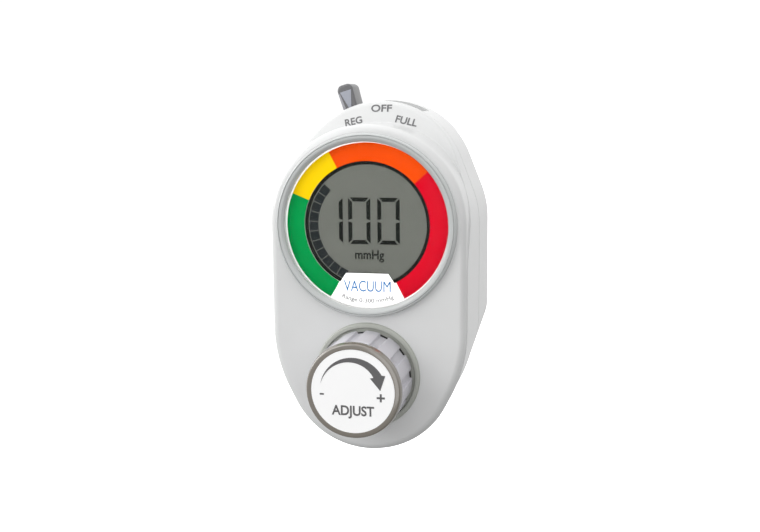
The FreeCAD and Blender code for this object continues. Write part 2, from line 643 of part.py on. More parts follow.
def manifold_screws():
    screws = []
    for x, z in MANIFOLD_SCREWS:
        body = turned([(0, -15.0), (1.45, -15.0), (1.45, -1.9), (2.9, -0.45), (2.9, -0.15),
                       (0, -0.15)], x, z)
        cross = [block(x - 1.6, x + 1.6, -1.2, 0, z - 0.3, z + 0.3),
                 block(x - 0.3, x + 0.3, -1.2, 0, z - 1.6, z + 1.6)]
        screws.append(body.cut(Part.makeCompound(cross[:1])).cut(cross[1]))
    return Part.makeCompound(screws)


# ---- selector ------------------------------------------------------------------------------
def grip_profile(y):
    """The lever's grip seen from the front: it widens a little from its neck to an arched top."""
    z0 = GAUGE_Z + SHIELD_R - 1.0
    neck = GAUGE_Z + LEVER_NECK_R
    shoulder = GAUGE_Z + LEVER_TIP_R - LEVER_CROWN_H
    half_neck = LEVER_NECK_W / 2
    half_tip = LEVER_TIP_W / 2
    right = [V(half_neck, y, z0), V(half_neck, y, neck), V(half_tip, y, shoulder)]
    left = [V(-p.x, p.y, p.z) for p in reversed(right)]
    crown = Part.Arc(right[2], V(0, y, GAUGE_Z + LEVER_TIP_R), left[0]).toShape()
    sides = [Part.LineSegment(a, b).toShape() for a, b in zip(right, right[1:])]
    sides += [crown] + [Part.LineSegment(a, b).toShape() for a, b in zip(left, left[1:])]
    sides.append(Part.LineSegment(left[2], right[0]).toShape())
    return Part.Wire(sides)


def mode_lever():
    hub = rod(HUB_R, HUB_FRONT_Y, -30.0, 0, GAUGE_Z)
    detent_disc = rod(14.0, -30.0, DETENT_FACE_Y, 0, GAUGE_Z)
    arm = block(-3.0, 3.0, -33.0, -26.6, GAUGE_Z, GAUGE_Z + ARM_R)
    rib = block(-2.0, 2.0, SHIELD_FRONT_Y, SHIELD_BACK_Y - 3.0, GAUGE_Z + 20.0,
                GAUGE_Z + SHIELD_R - 0.8)
    ring = tube(SHIELD_R, SHIELD_R - 1.5, SHIELD_FRONT_Y, SHIELD_BACK_Y, 0, GAUGE_Z)
    shield = ring.common(wedge(SHIELD_HALF_DEG, SHIELD_FRONT_Y - 1, 0.0))
    grip = Part.Face(grip_profile(LEVER_FRONT_Y)).extrude(V(0, LEVER_BACK_Y - LEVER_FRONT_Y, 0))
    tip_z = GAUGE_Z + LEVER_NECK_R
    ends = [e for e in grip.Edges
            if e.BoundBox.ZMin > tip_z - 0.01 and e.BoundBox.YLength < 0.01]
    grip = grip.makeFillet(0.9, ends)
    lever = fused([hub, detent_disc, arm, rib, shield, grip])
    dimple = Part.makeSphere(1.7, V(0, DETENT_FACE_Y + 1.2, GAUGE_Z - DETENT_R))
    dimples = [swung(dimple, -angle) for angle in (0.0, LEVER_TILT, 2 * LEVER_TILT)]
    bore = rod(SPINDLE_R + 0.02, -34.5, DETENT_FACE_Y + 1, 0, GAUGE_Z)
    screw_hole = rod(1.6, -37.0, -34.0, 0, GAUGE_Z)
    recess = rod(3.4, HUB_FRONT_Y - 1, -36.2, 0, GAUGE_Z)
    lever = lever.cut(Part.makeCompound([bore, recess])).cut(screw_hole)
    return swung(lever, -LEVER_TILT).cut(Part.makeCompound(dimples))


def lever_screw():
    return pan_screw(3.1, 1.5, 1.5, 9.0, -36.2, 0, GAUGE_Z)


def selector_rotor():
    barrel = rod(ROTOR_R, -23.8, -9.2, 0, GAUGE_Z)
    shaft = rod(SPINDLE_R, -34.2, -23.8, 0, GAUGE_Z)
    grooves = [tube(ROTOR_R + 1, 4.8, y - 0.6, y + 0.6, 0, GAUGE_Z) for y in (-20.8, -11.2)]
    bore = rod(2.0, -16.5, -13.5, 0, GAUGE_Z)
    across = Part.makeCylinder(1.8, 2 * ROTOR_R + 2, V(-ROTOR_R - 1, -15.0, GAUGE_Z), V(1, 0, 0))
    down = upright(1.8, GAUGE_Z - ROTOR_R - 1, GAUGE_Z, 0, -15.0)
    screw_hole = rod(1.55, -35.0, -26.5, 0, GAUGE_Z)
    rotor = barrel.fuse(shaft)
    for cutter in grooves + [bore, across, down, screw_hole]:
        rotor = rotor.cut(cutter)
    return rotor.removeSplitter()


def selector_o_rings():
    return Part.makeCompound([Part.makeTorus(5.36, 0.5, V(0, y, GAUGE_Z), V(0, 1, 0))
                              for y in (-20.8, -11.2)])


def selector_retainer():
    plate = block(-12.0, 12.0, BLOCK_FRONT_Y - 1.4, BLOCK_FRONT_Y, GAUGE_Z - 7.0, GAUGE_Z + 7.0)
    bore = rod(SPINDLE_R + 0.3, BLOCK_FRONT_Y - 3, BLOCK_FRONT_Y + 1, 0, GAUGE_Z)
    cuts = [bore]
    for x, z in RETAINER_SCREWS:
        cuts.append(rod(1.2, BLOCK_FRONT_Y - 3, BLOCK_FRONT_Y + 1, x, z))
        cuts.append(rod(2.1, BLOCK_FRONT_Y - 3, BLOCK_FRONT_Y - 0.5, x, z))
    return plate.cut(cuts)


def retainer_screws():
    return Part.makeCompound([pan_screw(1.9, 0.8, 1.0, 5.0, BLOCK_FRONT_Y - 0.5, x, z)
                              for x, z in RETAINER_SCREWS])


def detent_ball():
    return Part.makeSphere(1.5, V(0, DETENT_FACE_Y + 1.55, GAUGE_Z - DETENT_R))


def detent_spring():
    return coil(1.15, 0.22, -23.1, -14.1, 8.0, 0, GAUGE_Z - DETENT_R)


# ---- ports ---------------------------------------------------------------------------------
def inlet_fitting():
    body = rod(FITTING_R, -PORT_LENGTH, 0.0, 0, 0)
    bore = rod(PORT_R, -PORT_LENGTH - 2, 1.0, 0, 0)
    flats = [block(FITTING_R - 0.8, FITTING_R + 1, -1.2, 1, -FITTING_R, FITTING_R),
             block(-FITTING_R - 1, 0.8 - FITTING_R, -1.2, 1, -FITTING_R, FITTING_R)]
    return body.cut(bore).cut(Part.makeCompound(flats))


def inlet_filter():
    return rod(4.7, -12.6, -10.6, 0, 0)


def outlet_fitting():
    flange = upright(9.6, OUTLET_MOUTH_Z, -66.6, 0, OUTLET_Y)
    body = upright(FITTING_R, -66.6, -54.0, 0, OUTLET_Y)
    neck = upright(6.5, -54.0, -46.6, 0, OUTLET_Y)
    bore = upright(PORT_R, OUTLET_MOUTH_Z - 1, OUTLET_MOUTH_Z + PORT_LENGTH, 0, OUTLET_Y)
    passage = upright(3.0, OUTLET_MOUTH_Z, -46.0, 0, OUTLET_Y)
    fitting = fused([flange, body, neck])
    return fitting.cut(bore).cut(passage).removeSplitter()


def port_o_rings():
    inlet = Part.makeTorus(6.8, 0.5, V(0, -11.05, 0), V(0, 1, 0))
    outlet = Part.makeTorus(7.3, 0.5, V(0, OUTLET_Y, -53.3), V(0, 0, 1))
    return Part.makeCompound([inlet, outlet])


NODES = [
    front_cover, rear_housing, housing_screws,
    gauge_bezel, gauge_lens, dial_plate, gauge_seal, lcd_panel, lcd_frame, lcd_connectors,
    circuit_board, board_chips, cell_holder, coin_cell, pressure_sensor, sensor_tube,
    gauge_case, gauge_case_screws,
    knob_collar, knob_body, knob_rim, knob_disc, knob_screw, adjusting_spindle, spindle_bush,
    spring_bonnet, bonnet_screws, spring_carrier, range_spring, diaphragm, diaphragm_plate,
    valve_poppet, valve_seat, poppet_spring, valve_plug, manifold_block, manifold_screws,
    mode_lever, lever_screw, selector_rotor, selector_o_rings, selector_retainer,
    retainer_screws, detent_ball, detent_spring,
    inlet_fitting, inlet_filter, outlet_fitting, port_o_rings,
]

os.makedirs("parts", exist_ok=True)
for make in NODES:
    shape = make()
    shape.exportStep("parts/%s.step" % make.__name__)
    print(make.__name__, "solids", len(shape.Solids), "valid", shape.isValid(),
          "volume %.1f" % shape.Volume)
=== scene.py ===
import json
import math

import bmesh
import bpy
from mathutils import Matrix, Vector


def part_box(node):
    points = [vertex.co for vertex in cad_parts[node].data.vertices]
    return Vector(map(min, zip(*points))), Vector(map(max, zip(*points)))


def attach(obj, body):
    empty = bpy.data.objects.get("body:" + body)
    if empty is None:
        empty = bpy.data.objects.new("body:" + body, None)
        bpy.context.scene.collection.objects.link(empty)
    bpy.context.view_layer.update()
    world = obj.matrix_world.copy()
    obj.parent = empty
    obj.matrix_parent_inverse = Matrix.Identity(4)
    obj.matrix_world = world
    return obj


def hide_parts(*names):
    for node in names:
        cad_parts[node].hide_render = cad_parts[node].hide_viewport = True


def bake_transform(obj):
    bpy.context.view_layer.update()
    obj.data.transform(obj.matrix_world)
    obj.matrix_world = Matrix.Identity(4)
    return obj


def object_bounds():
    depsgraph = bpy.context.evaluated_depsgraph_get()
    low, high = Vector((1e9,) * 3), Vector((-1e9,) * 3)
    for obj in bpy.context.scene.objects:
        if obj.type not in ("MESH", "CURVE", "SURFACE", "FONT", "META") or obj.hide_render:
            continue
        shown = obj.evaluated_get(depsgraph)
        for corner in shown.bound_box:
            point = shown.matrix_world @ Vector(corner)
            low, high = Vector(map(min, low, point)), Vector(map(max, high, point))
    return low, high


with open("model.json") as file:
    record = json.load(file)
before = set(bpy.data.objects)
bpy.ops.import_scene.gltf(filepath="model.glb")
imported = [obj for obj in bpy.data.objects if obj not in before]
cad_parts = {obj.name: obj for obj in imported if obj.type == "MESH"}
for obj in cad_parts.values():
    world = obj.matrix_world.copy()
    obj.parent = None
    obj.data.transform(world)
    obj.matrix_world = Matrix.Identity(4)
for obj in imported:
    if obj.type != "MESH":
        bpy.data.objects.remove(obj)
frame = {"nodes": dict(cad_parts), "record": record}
cad_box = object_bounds()

# Wall-mounted vacuum regulator with a digital gauge. Lengths below are in millimetres, in the
# CAD's frame: X right, Y into the wall, Z up, seen from the front. MM turns them into metres.
MM = 0.001


def node_box(node):
    """The lowest and highest corner of a CAD node, in millimetres."""
    low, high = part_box(node)
    return Vector(low) / MM, Vector(high) / MM


SLOT_OF = {part["node"]: part["material_slot"] for part in frame["record"]["subparts"]}
COVER_LOW, COVER_HIGH = node_box("front_cover")
BEZEL_LOW, BEZEL_HIGH = node_box("gauge_bezel")
DISC_LOW, DISC_HIGH = node_box("knob_disc")
RIM_LOW, RIM_HIGH = node_box("knob_rim")
BODY_LOW, BODY_HIGH = node_box("knob_body")
COLLAR_LOW, COLLAR_HIGH = node_box("knob_collar")
DIAL_LOW = node_box("dial_plate")[0]
LCD_LOW = node_box("lcd_panel")[0]

POD_Y = COVER_LOW.y                       # front face of the pod
PARTING_Y = COVER_HIGH.y                  # where the front cover meets the rear housing
GAUGE_Z = (BEZEL_LOW.z + BEZEL_HIGH.z) / 2
KNOB_Z = (RIM_LOW.z + RIM_HIGH.z) / 2
SHOULDER_Y = POD_Y + 3.7
POD_R = 42.3
POD_BOTTOM = -66.1
POD_EDGE_R = 3.2
HOOD_LEAN = math.radians(21.5)
HOOD_Y, HOOD_Z = -42.5, 48.0              # a point on the hood's leaning face
HOOD_EDGE_R = 2.2
COVE_R = 0.9                              # hollow corner between pod and hood
COVER_WALL = 2.4
LOWER_DEG, LOWER_R, LOWER_Z = 27.3, 62.0, -27.6   # the bend low on each side of the pod
# The body's outline: half its width, where each side bends, by how much and how tightly, and
# its crown and lowest point. It is one shape behind the pod and another at the back.
FRONT_OUTLINE = dict(half_width=42.65, upper_z=37.7, upper_deg=20.0, upper_r=POD_R, top_z=83.6,
                     lower_z=LOWER_Z, lower_deg=LOWER_DEG, lower_r=LOWER_R, bottom_z=-66.4)
BACK_OUTLINE = dict(half_width=44.6, upper_z=37.7, upper_deg=21.5, upper_r=40.0, top_z=84.0,
                    lower_z=-12.0, lower_deg=18.7, lower_r=15.0, bottom_z=-65.0)

WINDOW_R = 27.2                           # round window of the display
DIAL_R = 34.8                             # outer edge of the coloured zones
KNOB_R = 20.0
KNOB_LOBES = 12
NOTCH_DEPTH = 1.25
NOTCH_START_DEG = 96.0                    # the first notch, anticlockwise from +X
LEVER_TILT = 16.7                         # degrees left of upright, in REG
LEVER_FRONT_Y, LEVER_BACK_Y = -25.2, -10.6
PRINT_T = 0.06                            # thickness of raised print
PRINT_GAP = 0.005                         # between print and what it lies on

CAMERA_TARGET = Vector((5.6, -58.0, 14.8))
CAMERA_DISTANCE = 450.0
CAMERA_AZIMUTH, CAMERA_ELEVATION, CAMERA_ROLL = (math.radians(d) for d in (12.42, 8.88, -0.52))
CAMERA_LENS = 50.4
LIGHT_AIM = (0.0, -0.03, 0.01)            # metres, as are the lights' places and sizes
FLOOR_HALF, FLOOR_GAP = 6.0, 0.04         # metres


# ---- camera, light and floor ---------------------------------------------------------------
def make_camera():
    """A camera to the right of the object and a little above it, aimed at its middle."""
    data = bpy.data.cameras.new("camera")
    data.sensor_width = 36.0
    data.lens = CAMERA_LENS
    cam = bpy.data.objects.new("camera", data)
    bpy.context.scene.collection.objects.link(cam)
    flat = math.cos(CAMERA_ELEVATION)
    back = Vector((math.sin(CAMERA_AZIMUTH) * flat, -math.cos(CAMERA_AZIMUTH) * flat,
                   math.sin(CAMERA_ELEVATION)))
    level = Vector((math.cos(CAMERA_AZIMUTH), math.sin(CAMERA_AZIMUTH), 0.0))
    upright = back.cross(level)
    right = level * math.cos(CAMERA_ROLL) + upright * math.sin(CAMERA_ROLL)
    up = upright * math.cos(CAMERA_ROLL) - level * math.sin(CAMERA_ROLL)
    place = (CAMERA_TARGET + back * CAMERA_DISTANCE) * MM
    cam.matrix_world = Matrix.Translation(place) @ Matrix((right, up, back)).transposed().to_4x4()
    data.clip_start = 0.01
    bpy.context.scene.camera = cam


def softbox(name, place, size, power):
    """A white rectangular light at a place in metres, turned to the object."""
    data = bpy.data.lights.new(name, "AREA")
    data.shape = "RECTANGLE"
    data.size, data.size_y = size
    data.energy = power
    lamp = bpy.data.objects.new(name, data)
    bpy.context.scene.collection.objects.link(lamp)
    lamp.location = place
    direction = Vector(LIGHT_AIM) - Vector(place)
    lamp.rotation_euler = direction.to_track_quat("-Z", "Y").to_euler()


def make_world():
    """A white room, brighter overhead, behind and to the left."""
    world = bpy.data.worlds.new("studio")
    bpy.context.scene.world = world
    world.use_nodes = True
    nodes, links = world.node_tree.nodes, world.node_tree.links
    nodes.clear()
    out = nodes.new("ShaderNodeOutputWorld")
    path = nodes.new("ShaderNodeLightPath")
    mix = nodes.new("ShaderNodeMixShader")
    seen = nodes.new("ShaderNodeBackground")
    seen.inputs["Color"].default_value = (1, 1, 1, 1)
    seen.inputs["Strength"].default_value = 1.05
    lit = nodes.new("ShaderNodeBackground")
    coord = nodes.new("ShaderNodeTexCoord")
    toward = nodes.new("ShaderNodeVectorMath")
    toward.operation = "DOT_PRODUCT"
    toward.inputs[1].default_value = (-0.25, 0.3, 0.85)
    level = nodes.new("ShaderNodeMapRange")
    level.inputs["From Min"].default_value = -1.0
    level.inputs["To Min"].default_value = 0.18
    level.inputs["To Max"].default_value = 1.85
    links.new(coord.outputs["Generated"], toward.inputs[0])
    links.new(toward.outputs["Value"], level.inputs["Value"])
    links.new(level.outputs[0], lit.inputs["Strength"])
    links.new(path.outputs["Is Camera Ray"], mix.inputs[0])
    links.new(lit.outputs[0], mix.inputs[1])
    links.new(seen.outputs[0], mix.inputs[2])
    links.new(mix.outputs[0], out.inputs["Surface"])


def make_floor():
    """A pale floor just below the object."""
    z = cad_box[0].z - FLOOR_GAP
    corners = [(x * FLOOR_HALF, y * FLOOR_HALF, z) for x, y in ((-1, -1), (1, -1), (1, 1), (-1, 1))]
    mesh = bpy.data.meshes.new("floor")
    mesh.from_pydata(corners, [], [(0, 1, 2, 3)])
    floor = bpy.data.objects.new("floor", mesh)
    bpy.context.scene.collection.objects.link(floor)
    mesh.materials.append(moulded("floor_paint", (0.92, 0.92, 0.92), 0.75, mottle=0.01,
                                  grain=2.0, bump=0.02, Emission_Color=(1, 1, 1, 1),
                                  Emission_Strength=0.7))
    floor.visible_diffuse = False
    floor.visible_glossy = False


# ---- materials -----------------------------------------------------------------------------
def node_material(name):
    """A new material with its Principled shader, and a function that adds nodes to it."""
    mat = bpy.data.materials.new(name)
    mat.use_nodes = True
    tree = mat.node_tree
    shader = tree.nodes["Principled BSDF"]

    def add(kind, **sockets):
        node = tree.nodes.new("ShaderNode" + kind)
        for key, value in sockets.items():
            node.inputs[key.replace("_", " ")].default_value = value
        return node

    return mat, tree.links, shader, add


def moulded(name, colour, rough, mottle=0.02, grain=0.3, bump=0.05, cloud=14.0, **sockets):
    """A moulded or painted surface: faint colour clouds, fine grain in its gloss and relief.
    cloud and grain are the sizes of the clouds and the grain, in millimetres. The rest sets
    the shader's own sockets by name."""
    spread = 0.05
    mat, link, shader, add = node_material(name)
    for key, value in sockets.items():
        shader.inputs[key.replace("_", " ")].default_value = value
    coord = add("TexCoord")
    clouds = add("TexNoise", Scale=1.0 / (cloud * MM), Detail=3.0, Roughness=0.5)
    tint = add("ValToRGB")
    tint.color_ramp.elements[0].position = 0.3
    tint.color_ramp.elements[1].position = 0.7
    for stop, share in zip(tint.color_ramp.elements, (1 - mottle, 1 + mottle)):
        stop.color = [min(c * share, 1.0) for c in colour] + [1.0]
    fine = add("TexNoise", Scale=1.0 / (grain * MM), Detail=4.0, Roughness=0.6)
    gloss = add("MapRange", From_Min=0.3, From_Max=0.7, To_Min=rough - spread / 2,
                To_Max=rough + spread / 2)
    relief = add("Bump", Strength=bump, Distance=grain * MM * 0.3)
    link.new(coord.outputs["Object"], clouds.inputs["Vector"])
    link.new(coord.outputs["Object"], fine.inputs["Vector"])
    link.new(clouds.outputs[0], tint.inputs[0])
    link.new(tint.outputs[0], shader.inputs["Base Color"])
    link.new(fine.outputs[0], gloss.inputs["Value"])
    link.new(gloss.outputs[0], shader.inputs["Roughness"])
    link.new(fine.outputs[0], relief.inputs["Height"])
    link.new(relief.outputs[0], shader.inputs["Normal"])
    return mat


def metal(name, colour, rough):
    """Turned metal: fine rings along Y, in its relief and gloss."""
    pitch = 0.25
    mat, link, shader, add = node_material(name)
    shader.inputs["Metallic"].default_value = 1.0
    coord = add("TexCoord")
    rings = add("TexWave", Scale=1.0 / (pitch * MM) / 6.3, Distortion=1.5, Detail=2.0,
                Detail_Scale=2.0)
    rings.wave_type = "BANDS"
    rings.bands_direction = "Y"
    clouds = add("TexNoise", Scale=180.0, Detail=4.0)
    tint = add("ValToRGB")
    tint.color_ramp.elements[0].position = 0.3
    tint.color_ramp.elements[1].position = 0.75
    for stop, share in zip(tint.color_ramp.elements, (0.88, 1.04)):
        stop.color = [min(c * share, 1.0) for c in colour] + [1.0]
    gloss = add("MapRange", To_Min=rough - 0.06, To_Max=rough + 0.08)
    relief = add("Bump", Strength=0.08, Distance=0.02 * MM)
    link.new(coord.outputs["Object"], rings.inputs["Vector"])
    link.new(coord.outputs["Object"], clouds.inputs["Vector"])
    link.new(clouds.outputs[0], tint.inputs[0])
    link.new(tint.outputs[0], shader.inputs["Base Color"])
    link.new(rings.outputs["Fac"], gloss.inputs["Value"])
    link.new(gloss.outputs[0], shader.inputs["Roughness"])
    link.new(rings.outputs["Fac"], relief.inputs["Height"])
    link.new(relief.outputs[0], shader.inputs["Normal"])
    return mat


def clear(name, tint, rough=0.03, ior=1.49, through=1.0):
    """Clear acrylic with faint unevenness in its polish."""
    mat, link, shader, add = node_material(name)
    shader.inputs["Transmission Weight"].default_value = through
    shader.inputs["IOR"].default_value = ior
    coord = add("TexCoord")
    clouds = add("TexNoise", Scale=60.0, Detail=3.0)
    shade = add("ValToRGB")
    for stop, share in zip(shade.color_ramp.elements, (0.985, 1.0)):
        stop.color = [c * share for c in tint] + [1.0]
    gloss = add("MapRange", To_Min=rough * 0.5, To_Max=rough * 1.5)
    relief = add("Bump", Strength=0.03, Distance=0.05 * MM)
    link.new(coord.outputs["Object"], clouds.inputs["Vector"])
    link.new(clouds.outputs[0], shade.inputs[0])
    link.new(shade.outputs[0], shader.inputs["Base Color"])
    link.new(clouds.outputs[0], gloss.inputs["Value"])
    link.new(gloss.outputs[0], shader.inputs["Roughness"])
    link.new(clouds.outputs[0], relief.inputs["Height"])
    link.new(relief.outputs[0], shader.inputs["Normal"])
    return mat


def make_materials():
    """Every material, by its slot or its print."""
    dull = {"Specular_IOR_Level": 0.02}
    return {
        "housing_white": moulded("housing_white", (0.655, 0.66, 0.658), 0.3, mottle=0.012,
                                 grain=0.25, bump=0.03, Coat_Weight=0.25, Coat_Roughness=0.12),
        "bezel_clear": clear("bezel_clear", (0.60, 0.62, 0.615), rough=0.1, through=0.15),
        "lens_clear": clear("lens_clear", (1.0, 1.0, 1.0), rough=0.002, ior=1.08),
        "dial_print": moulded("dial_print", (0.98, 0.98, 0.965), 0.45, **dull),
        "lcd_grey": moulded("lcd_grey", (0.102, 0.106, 0.094), 0.4, mottle=0.03, **dull),
        "knob_grey": moulded("knob_grey", (0.56, 0.55, 0.59), 0.38, grain=0.2),
        "knob_taupe": moulded("knob_taupe", (0.175, 0.155, 0.128), 0.22, grain=0.2,
                              Coat_Weight=1.0, Coat_IOR=1.8, Coat_Roughness=0.08),
        "knob_label": moulded("knob_label", (0.97, 0.97, 0.97), 0.4, mottle=0.008),
        "lever_grey": moulded("lever_grey", (0.135, 0.135, 0.141), 0.34, grain=0.2),
        "collar_grey": moulded("collar_grey", (0.47, 0.485, 0.44), 0.3, grain=0.2,
                               Transmission_Weight=0.15),
        "brass": metal("brass", (0.80, 0.62, 0.32), 0.3),
        "steel": metal("steel", (0.62, 0.62, 0.61), 0.3),
        "spring_steel": metal("spring_steel", (0.5, 0.5, 0.5), 0.35),
        "aluminium": metal("aluminium", (0.75, 0.75, 0.76), 0.38),
        "black_rubber": moulded("black_rubber", (0.025, 0.025, 0.027), 0.6, mottle=0.1),
        "silicone": moulded("silicone", (0.6, 0.6, 0.58), 0.5),
        "black_plastic": moulded("black_plastic", (0.03, 0.03, 0.032), 0.45, mottle=0.06),
        "board_green": moulded("board_green", (0.02, 0.16, 0.06), 0.4, mottle=0.08),
        "bronze_filter": moulded("bronze_filter", (0.42, 0.27, 0.12), 0.5, mottle=0.15,
                                 grain=0.15, bump=0.6, cloud=0.6, Metallic=1.0),
        "print_grey": moulded("print_grey", (0.14, 0.14, 0.145), 0.5, mottle=0.05),
        "knob_print": moulded("knob_print", (0.11, 0.108, 0.11), 0.5, mottle=0.05),
        "zone_green": moulded("zone_green", (0.0, 0.195, 0.042), 0.4, **dull),
        "zone_yellow": moulded("zone_yellow", (0.63, 0.42, 0.0), 0.4, **dull),
        "zone_orange": moulded("zone_orange", (0.58, 0.050, 0.001), 0.4, **dull),
        "zone_red": moulded("zone_red", (0.45, 0.001, 0.0115), 0.4, **dull),
        "lcd_segment": moulded("lcd_segment", (0.008, 0.009, 0.008), 0.4, **dull),
        "lcd_bar_dark": moulded("lcd_bar_dark", (0.014, 0.017, 0.018), 0.4, **dull),
        "label_blue": moulded("label_blue", (0.004, 0.11, 0.30), 0.4, **dull),
        "pointer_blue": moulded("pointer_blue", (0.33, 0.345, 0.395), 0.35),
        # A lighter copy of the lever's grey: painted highlight for the lever's left edge, which
        # faces the light.
        "lever_edge_highlight": moulded("lever_edge_highlight", (0.33, 0.33, 0.36), 0.35, grain=0.2),
    }


# ---- mesh helpers --------------------------------------------------------------------------
MERGE = 1e-7                              # metres, between points that are one


def piece(name, verts, faces, body, slot, material, smooth=35.0):
    """A mesh object from millimetre points, riding on a body, with one material."""
    mesh = bpy.data.meshes.new(name)
    mesh.from_pydata([Vector(v) * MM for v in verts], [], faces)
    return dressed(name, mesh, body, material, smooth)


def dressed(name, mesh, body, material, smooth=35.0):
    """An object for a mesh in metres, shaded smooth across edges under smooth degrees. It rides
    on body, or on no body when body is None."""
    mesh.materials.clear()
    mesh.materials.append(material)
    mesh.validate()
    mesh.shade_smooth()
    bm = bmesh.new()
    bm.from_mesh(mesh)
    bmesh.ops.remove_doubles(bm, verts=bm.verts, dist=MERGE)
    bmesh.ops.recalc_face_normals(bm, faces=bm.faces)
    limit = math.radians(smooth)
    for edge in bm.edges:
        edge.smooth = len(edge.link_faces) == 2 and edge.calc_face_angle(0) < limit
    bm.to_mesh(mesh)
    bm.free()
    obj = bpy.data.objects.new(name, mesh)
    bpy.context.scene.collection.objects.link(obj)
    if body:
        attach(obj, body)
    return obj


def plate(outline, y_front, thick):
    """Verts and faces of a flat plate from an outline of (x, z) points, facing the front."""
    n = len(outline)
    verts = [(x, y_front, z) for x, z in outline] + [(x, y_front + thick, z) for x, z in outline]
    faces = [tuple(range(n)), tuple(range(2 * n - 1, n - 1, -1))]
    faces += [(i, i + n, (i + 1) % n + n, (i + 1) % n) for i in range(n)]
    return verts, faces


def lathe(profile, place, count=144):
    """Verts and faces turned from a closed loop of (radius, height) points; place turns a
    radius, an angle and a height into a point."""
    verts, faces = [], []
    rows = len(profile)
    for i in range(count):
        verts += [place(r, 2 * math.pi * i / count, h) for r, h in profile]
    for i in range(count):
        a, b = i * rows, (i + 1) % count * rows
        faces += [(a + k, a + (k + 1) % rows, b + (k + 1) % rows, b + k) for k in range(rows)]
    return verts, faces


def about_y(x, z):
    """A place on the axis along Y through (x, z), for lathe."""
    return lambda r, a, h: (x + r * math.cos(a), h, z + r * math.sin(a))


def about_z(x, y):
    """A place on the axis along Z through (x, y), for lathe."""
    return lambda r, a, h: (x + r * math.cos(a), y + r * math.sin(a), h)


def rounded(corners, steps=5):
    """A closed loop through corners (a, b, radius), each one rounded off."""
    out = []
    for i, (a, b, radius) in enumerate(corners):
        here = Vector((a, b))
        before = Vector(corners[i - 1][:2]) - here
        after = Vector(corners[(i + 1) % len(corners)][:2]) - here
        reach = min(radius, 0.48 * before.length, 0.48 * after.length)
        if reach:
            out += bezier(here + before.normalized() * reach, here,
                          here + after.normalized() * reach, steps)
        else:
            out.append((a, b))
    return out


def inset(outline, distance):
    """A convex outline, anticlockwise, moved inwards."""
    out = []
    for i, here in enumerate(outline):
        before = (Vector(here) - Vector(outline[i - 1])).normalized()
        after = (Vector(outline[(i + 1) % len(outline)]) - Vector(here)).normalized()
        inward = Vector((-before.y - after.y, before.x + after.x))
        out.append(tuple(Vector(here) + inward * distance / (1 + before.dot(after))))
    return out


def slab(outline, front, back, front_r, back_r, steps=5):
    """Verts and faces of a slab with a convex outline and rounded front and back edges."""
    turn = [math.pi / 2 * i / steps for i in range(steps + 1)]
    rows = [(front_r * (1 - math.sin(a)), front + front_r * (1 - math.cos(a))) for a in turn]
    rows += [(back_r * (1 - math.cos(a)), back - back_r * (1 - math.sin(a))) for a in turn]
    n = len(outline)
    verts = [(x, y, z) for d, y in rows for x, z in inset(outline, d)]
    faces = [tuple(range(n)), tuple(range(n * len(rows) - 1, n * len(rows) - 1 - n, -1))]
    for r in range(len(rows) - 1):
        faces += [(r * n + i, (r + 1) * n + i, (r + 1) * n + (i + 1) % n, r * n + (i + 1) % n)
                  for i in range(n)]
    return verts, faces


def joined(parts):
    """Several (verts, faces) as one."""
    verts, faces = [], []
    for v, f in parts:
        faces += [tuple(k + len(verts) for k in face) for face in f]
        verts += v
    return verts, faces


def ring_plate(r_in, r_out, deg_from, deg_to, y_front, thick, step=2.0):
    """Verts and faces of a flat ring sector around the gauge's centre, angles from +X to +Z."""
    count = max(2, int(abs(deg_to - deg_from) / step) + 1)
    verts, faces = [], []
    for i in range(count):
        a = math.radians(deg_from + (deg_to - deg_from) * i / (count - 1))
        for r, y in ((r_in, y_front), (r_out, y_front), (r_out, y_front + thick),
                     (r_in, y_front + thick)):
            verts.append((r * math.cos(a), y, GAUGE_Z + r * math.sin(a)))
    for i in range(count - 1):
        for k in range(4):
            a, b = 4 * i + k, 4 * i + (k + 1) % 4
            faces.append((a, b, b + 4, a + 4))
    faces += [(0, 3, 2, 1), (4 * count - 4, 4 * count - 3, 4 * count - 2, 4 * count - 1)]
    return verts, faces


def lettering(name, text, height, centre, body, material, turn=0.0, lean=0.0, weight=0.0,
              stretch=1.0, depth=0.12, bend=0.0):
    """Raised print: text whose capitals are height tall, centred on a point (x, y, z), turned
    clockwise by turn degrees and leaning back by lean degrees. bend is the radius of the arc
    below its centre that the text follows, or 0 for a straight line."""
    curve = bpy.data.curves.new(name, "FONT")
    curve.body = text
    curve.align_x, curve.align_y = "CENTER", "CENTER"
    curve.extrude = depth / 2
    curve.resolution_u = 5
    probe = bpy.data.objects.new(name + "_probe", curve)
    bpy.context.scene.collection.objects.link(probe)
    curve.size = height / 0.7
    curve.offset = weight
    bpy.context.view_layer.update()
    mesh = bpy.data.meshes.new_from_object(
        probe.evaluated_get(bpy.context.evaluated_depsgraph_get()))
    bpy.data.objects.remove(probe)
    bm = bmesh.new()
    bm.from_mesh(mesh)
    xs = [v.co.x for v in bm.verts]
    ys = [v.co.y for v in bm.verts]
    middle = Vector(((max(xs) + min(xs)) / 2, (max(ys) + min(ys)) / 2, 0))
    place = (Matrix.Translation(Vector(centre))
             @ Matrix.Rotation(math.radians(90.0 - lean), 4, "X")
             @ Matrix.Rotation(math.radians(-turn), 4, "Z")
             @ Matrix.Diagonal((stretch, 1.0, 1.0, 1.0)))
    for v in bm.verts:
        flat = v.co - middle
        if bend:
            a, r = flat.x * stretch / bend, bend - flat.y
            flat = Vector((r * math.sin(a) / stretch, bend - r * math.cos(a), flat.z))
        v.co = (place @ flat) * MM
    bmesh.ops.remove_doubles(bm, verts=bm.verts, dist=MERGE)
    bm.to_mesh(mesh)
    bm.free()
    mesh.name = name
    return dressed(name, mesh, body, material, smooth=30.0)


